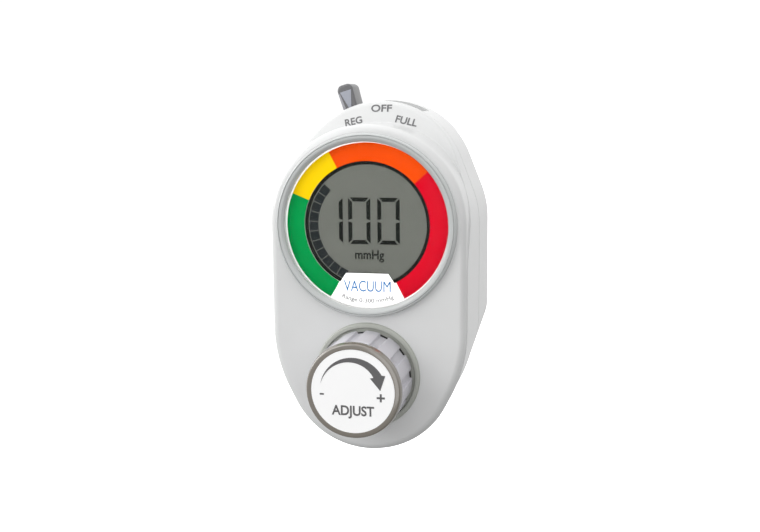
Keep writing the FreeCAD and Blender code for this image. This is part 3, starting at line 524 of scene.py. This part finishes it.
# ---- front cover ---------------------------------------------------------------------------
def corner_arcs(half_width, z, degrees, bend_r, end_z, up):
    """The bend and the end arc of one rounded corner, as (centre, radius, start, end) in the
    (x, z) plane, angles in radians from +X towards up."""
    a = math.radians(degrees)
    cz = z - up * bend_r * math.tan(a / 2)
    bend = ((half_width - bend_r, cz), bend_r, 0.0, a)
    reach = half_width * math.cos(a) + up * (z - end_z) * math.sin(a)
    end_r = reach / (1 - math.sin(a))
    end = ((0.0, end_z - up * end_r), end_r, a, math.pi / 2)
    return bend, end


def arc_at(arc, up, share):
    """The point and the outward normal at a share of the way along an arc."""
    (cx, cz), r, start, stop = arc
    a = start + (stop - start) * share
    return (cx + r * math.cos(a), cz + up * r * math.sin(a)), (math.cos(a), up * math.sin(a))


def right_half(upper, lower, steps):
    """Points and outward normals down the right side, from the crown to the lowest point."""
    top_bend, top_end = upper
    low_bend, low_end = lower
    runs = [[arc_at(top_end, 1, 1 - i / steps) for i in range(steps + 1)]]
    if top_bend:
        runs.append([arc_at(top_bend, 1, 1 - i / steps) for i in range(steps + 1)])
    runs.append([arc_at(low_bend, -1, i / steps) for i in range(steps + 1)])
    runs.append([arc_at(low_end, -1, i / steps) for i in range(steps + 1)])
    points = list(runs[0])
    for run in runs[1:]:
        (ax, az), _ = points[-1]
        (bx, bz), normal = run[0]
        gap = math.hypot(bx - ax, bz - az)
        count = max(1, int(gap / 3.0))
        points += [((ax + (bx - ax) * i / count, az + (bz - az) * i / count), normal)
                   for i in range(1, count)]
        points += run if gap > 1e-6 else run[1:]
    return points


def mirrored(points):
    """The closed outline, clockwise from the crown, seen from the front."""
    left = [((-x, z), (-nx, nz)) for (x, z), (nx, nz) in reversed(points[1:-1])]
    return points + left


def pod_outline():
    """The pod's closed outline: a round top about the gauge, and a rounded foot."""
    upper = (None, ((0.0, GAUGE_Z), POD_R, 0.0, math.pi / 2))
    lower = corner_arcs(POD_R, LOWER_Z, LOWER_DEG, LOWER_R, POD_BOTTOM, -1)
    return mirrored(right_half(upper, lower, 36))


def body_points(outline, steps=40):
    """A body outline's points, clockwise from the crown."""
    upper = corner_arcs(outline["half_width"], outline["upper_z"], outline["upper_deg"],
                        outline["upper_r"], outline["top_z"], 1)
    lower = corner_arcs(outline["half_width"], outline["lower_z"], outline["lower_deg"],
                        outline["lower_r"], outline["bottom_z"], -1)
    runs = [[arc_at(upper[1], 1, 1 - i / steps)[0] for i in range(steps + 1)],
            [arc_at(upper[0], 1, 1 - i / steps)[0] for i in range(steps + 1)],
            [arc_at(lower[0], -1, i / steps)[0] for i in range(steps + 1)],
            [arc_at(lower[1], -1, i / steps)[0] for i in range(steps + 1)]]
    half = [p for run in runs for p in run]
    return half + [(-x, z) for x, z in reversed(half)]


BODY_FRONT = body_points(FRONT_OUTLINE)
BODY_BACK = body_points(BACK_OUTLINE)


def reach_to_body(start, normal, y):
    """How far from start, along normal, the body's side is at depth y."""
    share = (y - SHOULDER_Y) / -SHOULDER_Y
    sx, sz = start
    nx, nz = normal
    last = None
    best = 0.0
    for (fx, fz), (bx, bz) in zip(BODY_FRONT, BODY_BACK):
        x = fx + (bx - fx) * share - sx
        z = fz + (bz - fz) * share - sz
        along, across = x * nx + z * nz, z * nx - x * nz
        if last and (last[1] <= 0 < across or across <= 0 < last[1]) and along > -5:
            t = last[1] / (last[1] - across)
            best = max(best, last[0] + (along - last[0]) * t)
        last = (along, across)
    return best


def front_surface(z):
    """Depth of the shoulder or the hood's leaning face at a height."""
    return max(SHOULDER_Y, HOOD_Y + math.tan(HOOD_LEAN) * (z - HOOD_Z))


def bezier(a, b, c, steps):
    """Points from a to c, bending towards b."""
    out = []
    for i in range(steps + 1):
        t = i / steps
        out.append(tuple((1 - t) ** 2 * a[k] + 2 * t * (1 - t) * b[k] + t * t * c[k]
                         for k in range(2)))
    return out


def cover_profile(start, normal):
    """The cover's closed section along a ray: (distance from the pod's side, depth) points."""
    def surface(t):
        return front_surface(start[1] + normal[1] * t)

    y_edge = surface(0.0)
    for _ in range(12):
        width = reach_to_body(start, normal, y_edge)
        y_edge = surface(width)
    width = reach_to_body(start, normal, y_edge)
    wall_top = POD_Y + POD_EDGE_R
    cove = min(COVE_R, 0.4 * (surface(0.0) - wall_top), 0.4 * width)
    edge = min(HOOD_EDGE_R, 0.45 * (width - cove))
    turn = [i * math.pi / 16 for i in range(9)]
    outer = [(POD_EDGE_R * (math.sin(a) - 1), POD_Y + POD_EDGE_R * (1 - math.cos(a)))
             for a in turn]
    foot = surface(0.0) - cove
    outer += [(0.0, wall_top + (foot - wall_top) * i / 4) for i in range(1, 4)]
    outer += bezier((0.0, foot), (0.0, surface(0.0)), (cove, surface(cove)), 5)
    inner_edge = width - edge
    outer += [(cove + (inner_edge - cove) * i / 5,
               surface(cove + (inner_edge - cove) * i / 5)) for i in range(1, 5)]
    side_y = y_edge + edge
    outer += bezier((inner_edge, surface(inner_edge)), (width, y_edge),
                    (reach_to_body(start, normal, side_y), side_y), 8)
    seam = 0.25
    end_y = PARTING_Y - seam
    outer += [(reach_to_body(start, normal, side_y + (end_y - side_y) * i / 5),
               side_y + (end_y - side_y) * i / 5) for i in range(1, 6)]
    back = reach_to_body(start, normal, PARTING_Y)
    outer += [(back - seam, PARTING_Y)]
    wall = COVER_WALL
    inner = [(back - wall, PARTING_Y), (width - wall, max(y_edge, SHOULDER_Y) + wall * 1.2),
             (-wall, surface(-wall) + wall * 1.1), (-wall, POD_Y + wall + 0.8),
             (-wall - 0.8, POD_Y + wall)]
    return outer, inner


def circle(r, z, count):
    """Points around a circle in the (x, z) plane, centred at height z."""
    return [(r * math.cos(2 * math.pi * i / count), z + r * math.sin(2 * math.pi * i / count))
            for i in range(count)]


def front_cover(material):
    """The front cover as one closed shell: a section swept around the pod's outline, with the
    face filled between the outline and the openings for the gauge and the knob."""
    columns = [(start, normal, *cover_profile(start, normal)) for start, normal in pod_outline()]
    count = len(columns)
    rows = len(columns[0][2]) + len(columns[0][3])
    verts, faces = [], []
    for (sx, sz), (nx, nz), outer, inner in columns:
        verts += [(sx + nx * t, y, sz + nz * t) for t, y in outer + inner]
    for i in range(count):
        a, b = i * rows, (i + 1) % count * rows
        faces += [(a + k, b + k, b + k + 1, a + k + 1) for k in range(rows - 1)]
    bm = bmesh.new()
    made = [bm.verts.new(Vector(v) * MM) for v in verts]
    for face in faces:
        bm.faces.new([made[i] for i in face])
    holes = [(35.6, GAUGE_Z, 144), (9.2, KNOB_Z, 48)]
    front_loops = [[made[i * rows] for i in range(count)]]
    back_loops = [[made[i * rows + rows - 1] for i in range(count)]]
    for r, z, n in holes:
        ring = circle(r, z, n)
        front = [bm.verts.new(Vector((x, POD_Y, z)) * MM) for x, z in ring]
        back = [bm.verts.new(Vector((x, POD_Y + COVER_WALL, z)) * MM) for x, z in ring]
        for i in range(n):
            j = (i + 1) % n
            bm.faces.new((front[i], front[j], back[j], back[i]))
        front_loops.append(front)
        back_loops.append(back)
    for loops, side in ((front_loops, -1), (back_loops, 1)):
        edges = []
        for loop in loops:
            for i, v in enumerate(loop):
                w = loop[(i + 1) % len(loop)]
                edges.append(bm.edges.get((v, w)) or bm.edges.new((v, w)))
        bmesh.ops.triangle_fill(bm, edges=edges, use_beauty=True, use_dissolve=False,
                                normal=(0, side, 0))
    mesh = bpy.data.meshes.new("cover_shell")
    bmesh.ops.recalc_face_normals(bm, faces=bm.faces)
    bm.to_mesh(mesh)
    bm.free()
    shell = dressed("cover_shell", mesh, "housing", material, smooth=40.0)
    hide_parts("front_cover")
    return shell


# ---- gauge ---------------------------------------------------------------------------------
def bezel(mats):
    """A clear ring with a step in its outer edge, a fine groove and a slope down to the lens."""
    foot, top = POD_Y, BEZEL_LOW.y
    r = BEZEL_HIGH.x
    lip = top + 1.3
    corners = [(r - 2.0, foot, 0), (r, foot, 0), (r - 0.1, top + 1.2, 0.2),
               (r - 0.45, top + 0.35, 0.5), (r - 1.0, top + 0.05, 0.15),
               (r - 1.1, top + 0.5, 0.05), (r - 1.25, top + 0.5, 0.05),
               (r - 1.4, top, 0.15), (r - 2.3, top, 0.4), (r - 3.4, lip - 0.5, 0.2),
               (r - 3.7, lip, 0.1), (r - 2.0, lip, 0)]
    ring = piece("bezel_ring", *lathe(rounded(corners), about_y(0, GAUGE_Z), 216), "housing",
                 "bezel_clear", mats["bezel_clear"])
    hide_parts("gauge_bezel")


def gauge_face(mats):
    """The coloured zones and the white label at the dial's foot."""
    front = DIAL_LOW.y - PRINT_T
    zones = [("zone_red", -62.5, 40.7), ("zone_orange", 40.7, 117.5),
             ("zone_yellow", 117.5, 157.4), ("zone_green", 157.4, 243.3)]
    for name, start, stop in zones:
        piece(name, *ring_plate(WINDOW_R - 0.1, DIAL_R, start, stop, front, PRINT_T - PRINT_GAP),
              "housing", "dial_print", mats[name])
    label = [(9.2, GAUGE_Z - 20.5), (-9.2, GAUGE_Z - 20.5)]
    for i in range(28):
        a = math.radians(242.5 + 55.0 * i / 27)
        label.append((DIAL_R * math.cos(a), GAUGE_Z + DIAL_R * math.sin(a)))
    piece("dial_label", *plate(label, front - 0.02, PRINT_T), "housing", "dial_print",
          mats["dial_print"])
    lettering("label_word", "VACUUM", 4.7, (0.0, front - 0.05, GAUGE_Z - 26.0), "housing",
              mats["label_blue"], stretch=0.74, depth=0.06)
    lettering("label_range", "Range 0-300 mmHg", 1.75, (0.2, front - 0.05, GAUGE_Z - 32.5),
              "housing", mats["print_grey"], depth=0.06, weight=0.03, bend=32.5,
              stretch=1.15)


def lcd_face(mats):
    """The display's dark edge, its bar of segments, its digits and its unit."""
    y = LCD_LOW.y - PRINT_T
    thick = PRINT_T - PRINT_GAP
    edge = [(WINDOW_R - 1.6, y), (WINDOW_R, y), (WINDOW_R, y + thick), (WINDOW_R - 1.6, y + thick)]
    piece("lcd_edge", *lathe(edge, about_y(0, GAUGE_Z)), "housing", "lcd_grey",
          mats["lcd_segment"])
    pitch = 10.1
    segments = [ring_plate(21.3, 25.2, 136.8 + pitch * i, 136.8 + pitch * (i + 0.92), y, thick,
                           step=1.5) for i in range(11)]
    piece("lcd_bar", *joined(segments), "housing", "lcd_grey", mats["lcd_bar_dark"])
    bars = [plate([(left + x, GAUGE_Z - 8.1 + z) for x, z in bar], y, thick)
            for left, kind in ((-12.2, "1"), (-8.1, "0"), (4.5, "0")) for bar in digit_bars(kind)]
    piece("lcd_digits", *joined(bars), "housing", "lcd_grey", mats["lcd_segment"])
    lettering("lcd_unit", "mmHg", 3.85, (1.0, y, GAUGE_Z - 13.2), "housing",
              mats["lcd_segment"], stretch=0.86, depth=0.05, weight=0.09)


def digit_bars(kind):
    """Outlines of the lit segments of a digit."""
    w, h, s, gap = 9.6, 19.8, 1.72, 0.3
    mid = h / 2
    left_low = [(0, gap), (s, gap + s), (s, mid - s * 0.5), (0, mid - gap)]
    left_high = [(0, mid + gap), (s, mid + s * 0.5), (s, h - gap - s), (0, h - gap)]
    right_low = [(w - x, z) for x, z in reversed(left_low)]
    right_high = [(w - x, z) for x, z in reversed(left_high)]
    foot = [(2.5 * gap, 0), (w - 2.5 * gap, 0), (w - 1.5 * gap - s, s), (1.5 * gap + s, s)]
    head = [(x, h - z) for x, z in reversed(foot)]
    if kind == "1":
        return [[(x - w + s, z) for x, z in bar] for bar in (right_low, right_high)]
    return [left_low, left_high, right_low, right_high, foot, head]


# ---- knob ----------------------------------------------------------------------------------
def knob_grip(material):
    """The knob's body: a hollow drum with notches that start behind its front band."""
    # Degrees from a notch's middle, and the share of its depth that is cut away there.
    half_notch = ((0.0, 1.0), (2.2, 1.0), (4.1, 1.0), (4.8, 0.88), (5.2, 0.55), (5.4, 0.25),
                  (5.8, 0.06), (6.6, 0.0), (9.0, 0.0), (12.0, 0.0))
    pitch = 360.0 / KNOB_LOBES
    span = [(-d, share) for d, share in reversed(half_notch[1:])] + list(half_notch)
    around = [(math.radians(NOTCH_START_DEG + pitch * i + d), share) for i in range(KNOB_LOBES)
              for d, share in span + [(pitch / 2, 0.0)]]
    front, back = BODY_LOW.y, BODY_HIGH.y
    bore_r, wall = 4.1, 3.6
    # Radius, depth and how far the notches reach, around the drum's closed section.
    rows = [(bore_r, front, 0), (KNOB_R - 0.5, front, 0), (KNOB_R - 0.08, front + 0.25, 0),
            (KNOB_R, front + 0.45, 0), (KNOB_R, front + 0.7, 0.05), (KNOB_R, front + 1.0, 0.85),
            (KNOB_R, front + 1.25, 1.0), (KNOB_R, (front + back) / 2, 1.0),
            (KNOB_R, back - 0.4, 1.0), (KNOB_R - 0.1, back - 0.1, 0.95), (KNOB_R - 0.4, back, 0.8),
            (KNOB_R - wall, back, 0), (KNOB_R - wall, front + 2.5, 0), (bore_r, front + 2.5, 0)]
    verts = [((r - NOTCH_DEPTH * deep * share) * math.cos(a), y,
              KNOB_Z + (r - NOTCH_DEPTH * deep * share) * math.sin(a))
             for a, share in around for r, y, deep in rows]
    n, count = len(rows), len(around)
    faces = [(i * n + k, i * n + (k + 1) % n, (i + 1) % count * n + (k + 1) % n,
              (i + 1) % count * n + k) for i in range(count) for k in range(n)]
    grip = piece("knob_grip", verts, faces, "knob", "knob_grey", material, smooth=40.0)
    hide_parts("knob_body")


def knob_rings(mats):
    """The bevelled ring around the knob's disc, the raised ring around the knob's base, and a black
    ring of painted shade on the collar's floor under the knob.
    """
    r, front, back = RIM_HIGH.x, RIM_LOW.y, RIM_HIGH.y
    disc = DISC_HIGH.x + 0.05
    corners = [(disc - 1.2, front + 0.7, 0), (disc, front + 0.7, 0), (disc, front, 0.1),
               (disc + 0.4, front, 0.3), (r - 0.6, front + 0.1, 0.6), (r, front + 1.9, 0.4),
               (r, back, 0.25), (disc - 1.2, back, 0)]
    rim = piece("rim_ring", *lathe(rounded(corners), about_y(0, KNOB_Z)), "knob", "knob_taupe",
                mats["knob_taupe"])
    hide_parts("knob_rim")
    r, top, foot = COLLAR_HIGH.x, COLLAR_LOW.y, COLLAR_HIGH.y
    floor = foot - 0.3
    corners = [(9.1, foot, 0), (r, foot, 0), (r - 0.1, top + 0.5, 0.3), (r - 0.6, top, 0.5),
               (r - 2.1, top, 0.3), (r - 2.4, floor, 0.1), (9.1, floor, 0)]
    collar = piece("collar_ring", *lathe(rounded(corners), about_y(0, KNOB_Z)), "housing",
                   "collar_grey", mats["collar_grey"])
    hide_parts("knob_collar")
    # A black ring on the collar's floor, just inside the knob's edge: painted shade for the gap
    # beneath the knob, which shows dark in the notch ends.
    corners = [(10.0, floor, 0), (KNOB_R - 0.95, floor, 0.1), (KNOB_R - 0.95, floor - 0.35, 0.1),
               (10.0, floor - 0.35, 0)]
    piece("collar_shade_ring", *lathe(rounded(corners), about_y(0, KNOB_Z)), "housing", "black_rubber",
          mats["black_rubber"])


def knob_face(mats):
    """The printed arrow, signs and word on the knob's disc, placed as shares of its radius."""
    r = (DISC_HIGH.x - DISC_LOW.x) / 2
    y = DISC_LOW.y - PRINT_T
    thick = PRINT_T - PRINT_GAP

    def spot(share, degrees):
        a = math.radians(degrees)
        return r * share * math.cos(a), KNOB_Z + r * share * math.sin(a)

    steps = 40
    outer, inner = [], []
    for i in range(steps + 1):
        t = i / steps
        middle = 0.79 - 0.05 * t - 0.03 * t * t
        outer.append(spot(middle + 0.10 * t, 169 - 138 * t))
        inner.append(spot(middle - 0.10 * t, 169 - 138 * t * (1 - 0.03 * t)))
    head = [spot(0.88, 27.5), spot(0.66, 4.0), spot(0.535, 39.0)]
    outline = inner[:0:-1] + outer + head
    piece("knob_arrow", *plate(outline, y, thick), "knob", "knob_label", mats["knob_print"])
    plus = cross_outline(0.67 * r, KNOB_Z - 0.125 * r, 0.097 * r, 0.023 * r)
    piece("knob_plus", *plate(plus, y, thick), "knob", "knob_label", mats["knob_print"])
    mx, mz, half, bar = -0.745 * r, KNOB_Z - 0.09 * r, 0.05 * r, 0.02 * r
    minus = [(mx - half, mz - bar), (mx + half, mz - bar), (mx + half, mz + bar),
             (mx - half, mz + bar)]
    piece("knob_minus", *plate(minus, y, thick), "knob", "knob_label", mats["knob_print"])
    lettering("knob_word", "ADJUST", 0.228 * r, (0.0, y, KNOB_Z - 0.495 * r), "knob",
              mats["knob_print"], stretch=0.9, depth=0.05, weight=0.13)


def cross_outline(cx, cz, half, arm):
    """A plus sign of half width half, whose arms are twice arm thick."""
    corners = [(arm, arm), (half, arm), (half, -arm), (arm, -arm), (arm, -half), (-arm, -half),
               (-arm, -arm), (-half, -arm), (-half, arm), (-arm, arm), (-arm, half), (arm, half)]
    return [(cx + x, cz + z) for x, z in corners]


# ---- lever and its marks -------------------------------------------------------------------
def tilted(parts):
    """(verts, faces) drawn with the lever upright above its axis, turned to REG."""
    verts, faces = parts
    a = math.radians(LEVER_TILT)
    return [(x * math.cos(a) - z * math.sin(a), y, GAUGE_Z + z * math.cos(a) + x * math.sin(a))
            for x, y, z in verts], faces


def lever(mats):
    """The grip on its arm and hub, its pointer face, and the curved shield under the slot."""
    neck, half, shoulder, tip = 3.15, 3.6, 59.4, 61.65
    crown = [(half, shoulder)] + bezier((half - 0.15, shoulder + 0.5), (half - 0.7, tip - 0.2),
                                        (half - 2.2, tip), 6)
    crown += [(-x, z) for x, z in reversed(crown)]
    outline = [(-neck, 39.4), (neck, 39.4), (neck, 48.0)] + crown + [(-neck, 48.0)]
    shield_r, shield_inner_r, shield_half_deg, steps = 40.5, 39.0, 38.5, 40
    shield_front, shield_back = -28.6, -7.0
    arc = [math.radians(90 - shield_half_deg + 2 * shield_half_deg * i / steps)
           for i in range(steps + 1)]
    shield_v, shield_f = [], []
    for a in arc:
        shield_v += [(r * math.cos(a), y, r * math.sin(a))
                     for r, y in ((shield_r, shield_front), (shield_r, shield_back),
                                  (shield_inner_r, shield_back), (shield_inner_r, shield_front))]
    for i in range(len(arc) - 1):
        shield_f += [(4 * i + k, 4 * i + (k + 1) % 4, 4 * i + 4 + (k + 1) % 4, 4 * i + 4 + k)
                     for k in range(4)]
    shield_f += [(3, 2, 1, 0), tuple(4 * len(arc) - 4 + k for k in range(4))]
    piece("lever_shield", *tilted((shield_v, shield_f)), "lever", "housing_white",
          mats["housing_white"])
    arm = slab([(-3, 6), (3, 6), (3, 39.2), (-3, 39.2)], -33.0, -26.6, 0.5, 0.3)
    hub = slab(circle(8.5, 0.0, 72), -38.0, -30.0, 0.4, 0.1)
    disc = slab(circle(14.0, 0.0, 72), -30.0, -26.2, 0.4, 0.1)
    grip = slab(outline, LEVER_FRONT_Y, LEVER_BACK_Y, 1.0, 1.9, steps=7)
    whole = piece("lever_grip", *tilted(joined([grip, arm, hub, disc])),
                  "lever", "lever_grey", mats["lever_grey"])
    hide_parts("mode_lever")
    y = LEVER_FRONT_Y - 0.25
    pointer = [(-0.3, 50.4), (0.5, 50.4), (2.9, 58.7), (-2.5, 58.7)]
    piece("lever_pointer", *tilted(slab(pointer, y, LEVER_FRONT_Y + 0.1, 0.2, 0.05)), "lever",
          "lever_grey", mats["pointer_blue"])
    # The raised strip along the lever's left edge is drawn lighter than the lever: a painted
    # highlight where the edge faces the light.
    left = [(-2.6, 58.0), (-3.45, 58.6), (-3.2, 50.2), (-1.7, 50.2)]
    piece("lever_left_edge", *tilted(slab(left, y + 0.1, LEVER_FRONT_Y + 0.6, 0.3, 0.05)),
          "lever", "lever_grey", mats["lever_edge_highlight"])


def hood_labels(mats):
    """The names of the lever's three positions, on the hood's leaning face."""
    lean = math.degrees(HOOD_LEAN)
    for name, text, x, z, turn, stretch in (("mark_reg", "REG", -11.5, 75.0, -13.0, 0.97),
                                            ("mark_off", "OFF", 0.7, 80.6, 0.0, 1.18),
                                            ("mark_full", "FULL", 12.3, 75.0, 13.0, 1.02)):
        y = HOOD_Y + math.tan(HOOD_LEAN) * (z - HOOD_Z) - 0.05
        lettering(name, text, 3.2, (x, y, z), "housing", mats["print_grey"],
                  turn=turn, lean=lean, stretch=stretch, weight=0.09)


def port_threads(mats):
    """Fine threads in the mouths of the inlet, at the back, and the outlet, below."""
    pitch, count = 0.94, 9
    outlet = node_box("outlet_fitting")
    axis_y = (outlet[0].y + outlet[1].y) / 2
    for name, mouth, inward, place in (("inlet_thread", -0.6, -1, about_y(0, 0)),
                                       ("outlet_thread", outlet[0].z + 0.6, 1,
                                        about_z(0, axis_y))):
        profile = [(4.35, mouth), (4.35, mouth + inward * pitch * count)]
        for i in range(count, 0, -1):
            profile += [(4.28, mouth + inward * pitch * i),
                        (3.85, mouth + inward * pitch * (i - 0.5))]
        profile.append((4.28, mouth))
        piece(name, *lathe(profile, place, 72), "housing", "brass", mats["brass"])


# ---- regulating chamber --------------------------------------------------------------------
def range_spring(mats):
    """The range spring: a coil of wire filling its CAD box, riding on no body."""
    low, high = node_box("range_spring")
    wire, turns, sides, per_turn = 0.8, 4, 12, 40
    radius = (high.x - low.x) / 2 - wire
    count = turns * per_turn
    verts = []
    for i in range(count + 1):
        a = 2 * math.pi * i / per_turn
        y = low.y + wire + (high.y - low.y - 2 * wire) * i / count
        for k in range(sides):
            b = 2 * math.pi * k / sides
            r = radius + wire * math.cos(b)
            verts.append((r * math.cos(a), y + wire * math.sin(b), KNOB_Z + r * math.sin(a)))
    faces = [(i * sides + k, i * sides + (k + 1) % sides, (i + 1) * sides + (k + 1) % sides,
              (i + 1) * sides + k) for i in range(count) for k in range(sides)]
    faces += [tuple(range(sides)), tuple(count * sides + k for k in range(sides))]
    spring = piece("range_coil", verts, faces, None, "spring_steel", mats["spring_steel"])
    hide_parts("range_spring")
    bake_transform(spring)


def diaphragm(mats):
    """The diaphragm: a centre clamped to the valve's plate, and a clamped edge with a roll."""
    low, high = node_box("diaphragm")
    edge_r = high.x
    front, back = low.y, high.y
    place = about_y(0, KNOB_Z)
    centre = [(2.1, front, 0), (12.0, front, 0.2), (12.0, back, 0.2), (2.1, back, 0)]
    piece("diaphragm_centre", *lathe(rounded(centre), place), "valve", SLOT_OF["diaphragm"],
          mats[SLOT_OF["diaphragm"]])
    roll = [(12.4, back - 0.1, 0), (12.4, front - 0.5, 0.3), (13.7, front - 0.5, 0.4),
            (13.8, front, 0.1), (edge_r, front, 0.1), (edge_r, back, 0.1), (13.3, back, 0.3),
            (13.1, front, 0.2), (12.8, front, 0.2), (12.8, back - 0.1, 0)]
    rim = piece("diaphragm_rim", *lathe(rounded(roll), place), "housing", SLOT_OF["diaphragm"],
                mats[SLOT_OF["diaphragm"]])
    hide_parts("diaphragm")


# ---- the object ----------------------------------------------------------------------------
make_camera()
materials = make_materials()
for node, obj in frame["nodes"].items():
    obj.data.materials.clear()
    obj.data.materials.append(materials[SLOT_OF[node]])

front_cover(materials["housing_white"])
bezel(materials)
gauge_face(materials)
lcd_face(materials)
knob_grip(materials["knob_grey"])
knob_rings(materials)
knob_face(materials)
lever(materials)
hood_labels(materials)
port_threads(materials)
range_spring(materials)
diaphragm(materials)
frame["nodes"]["gauge_lens"].visible_shadow = False

make_world()
make_floor()
softbox("key", (-0.6, -0.85, 0.5), (0.7, 0.7), 3.1)
softbox("front", (0.15, -1.0, -0.05), (0.6, 0.6), 1.5)
softbox("left", (-0.85, -0.05, 0.3), (0.5, 0.5), 2.5)
softbox("top", (0.1, -0.25, 1.0), (0.9, 0.6), 1.1)
bpy.context.scene.view_settings.view_transform = "Standard"
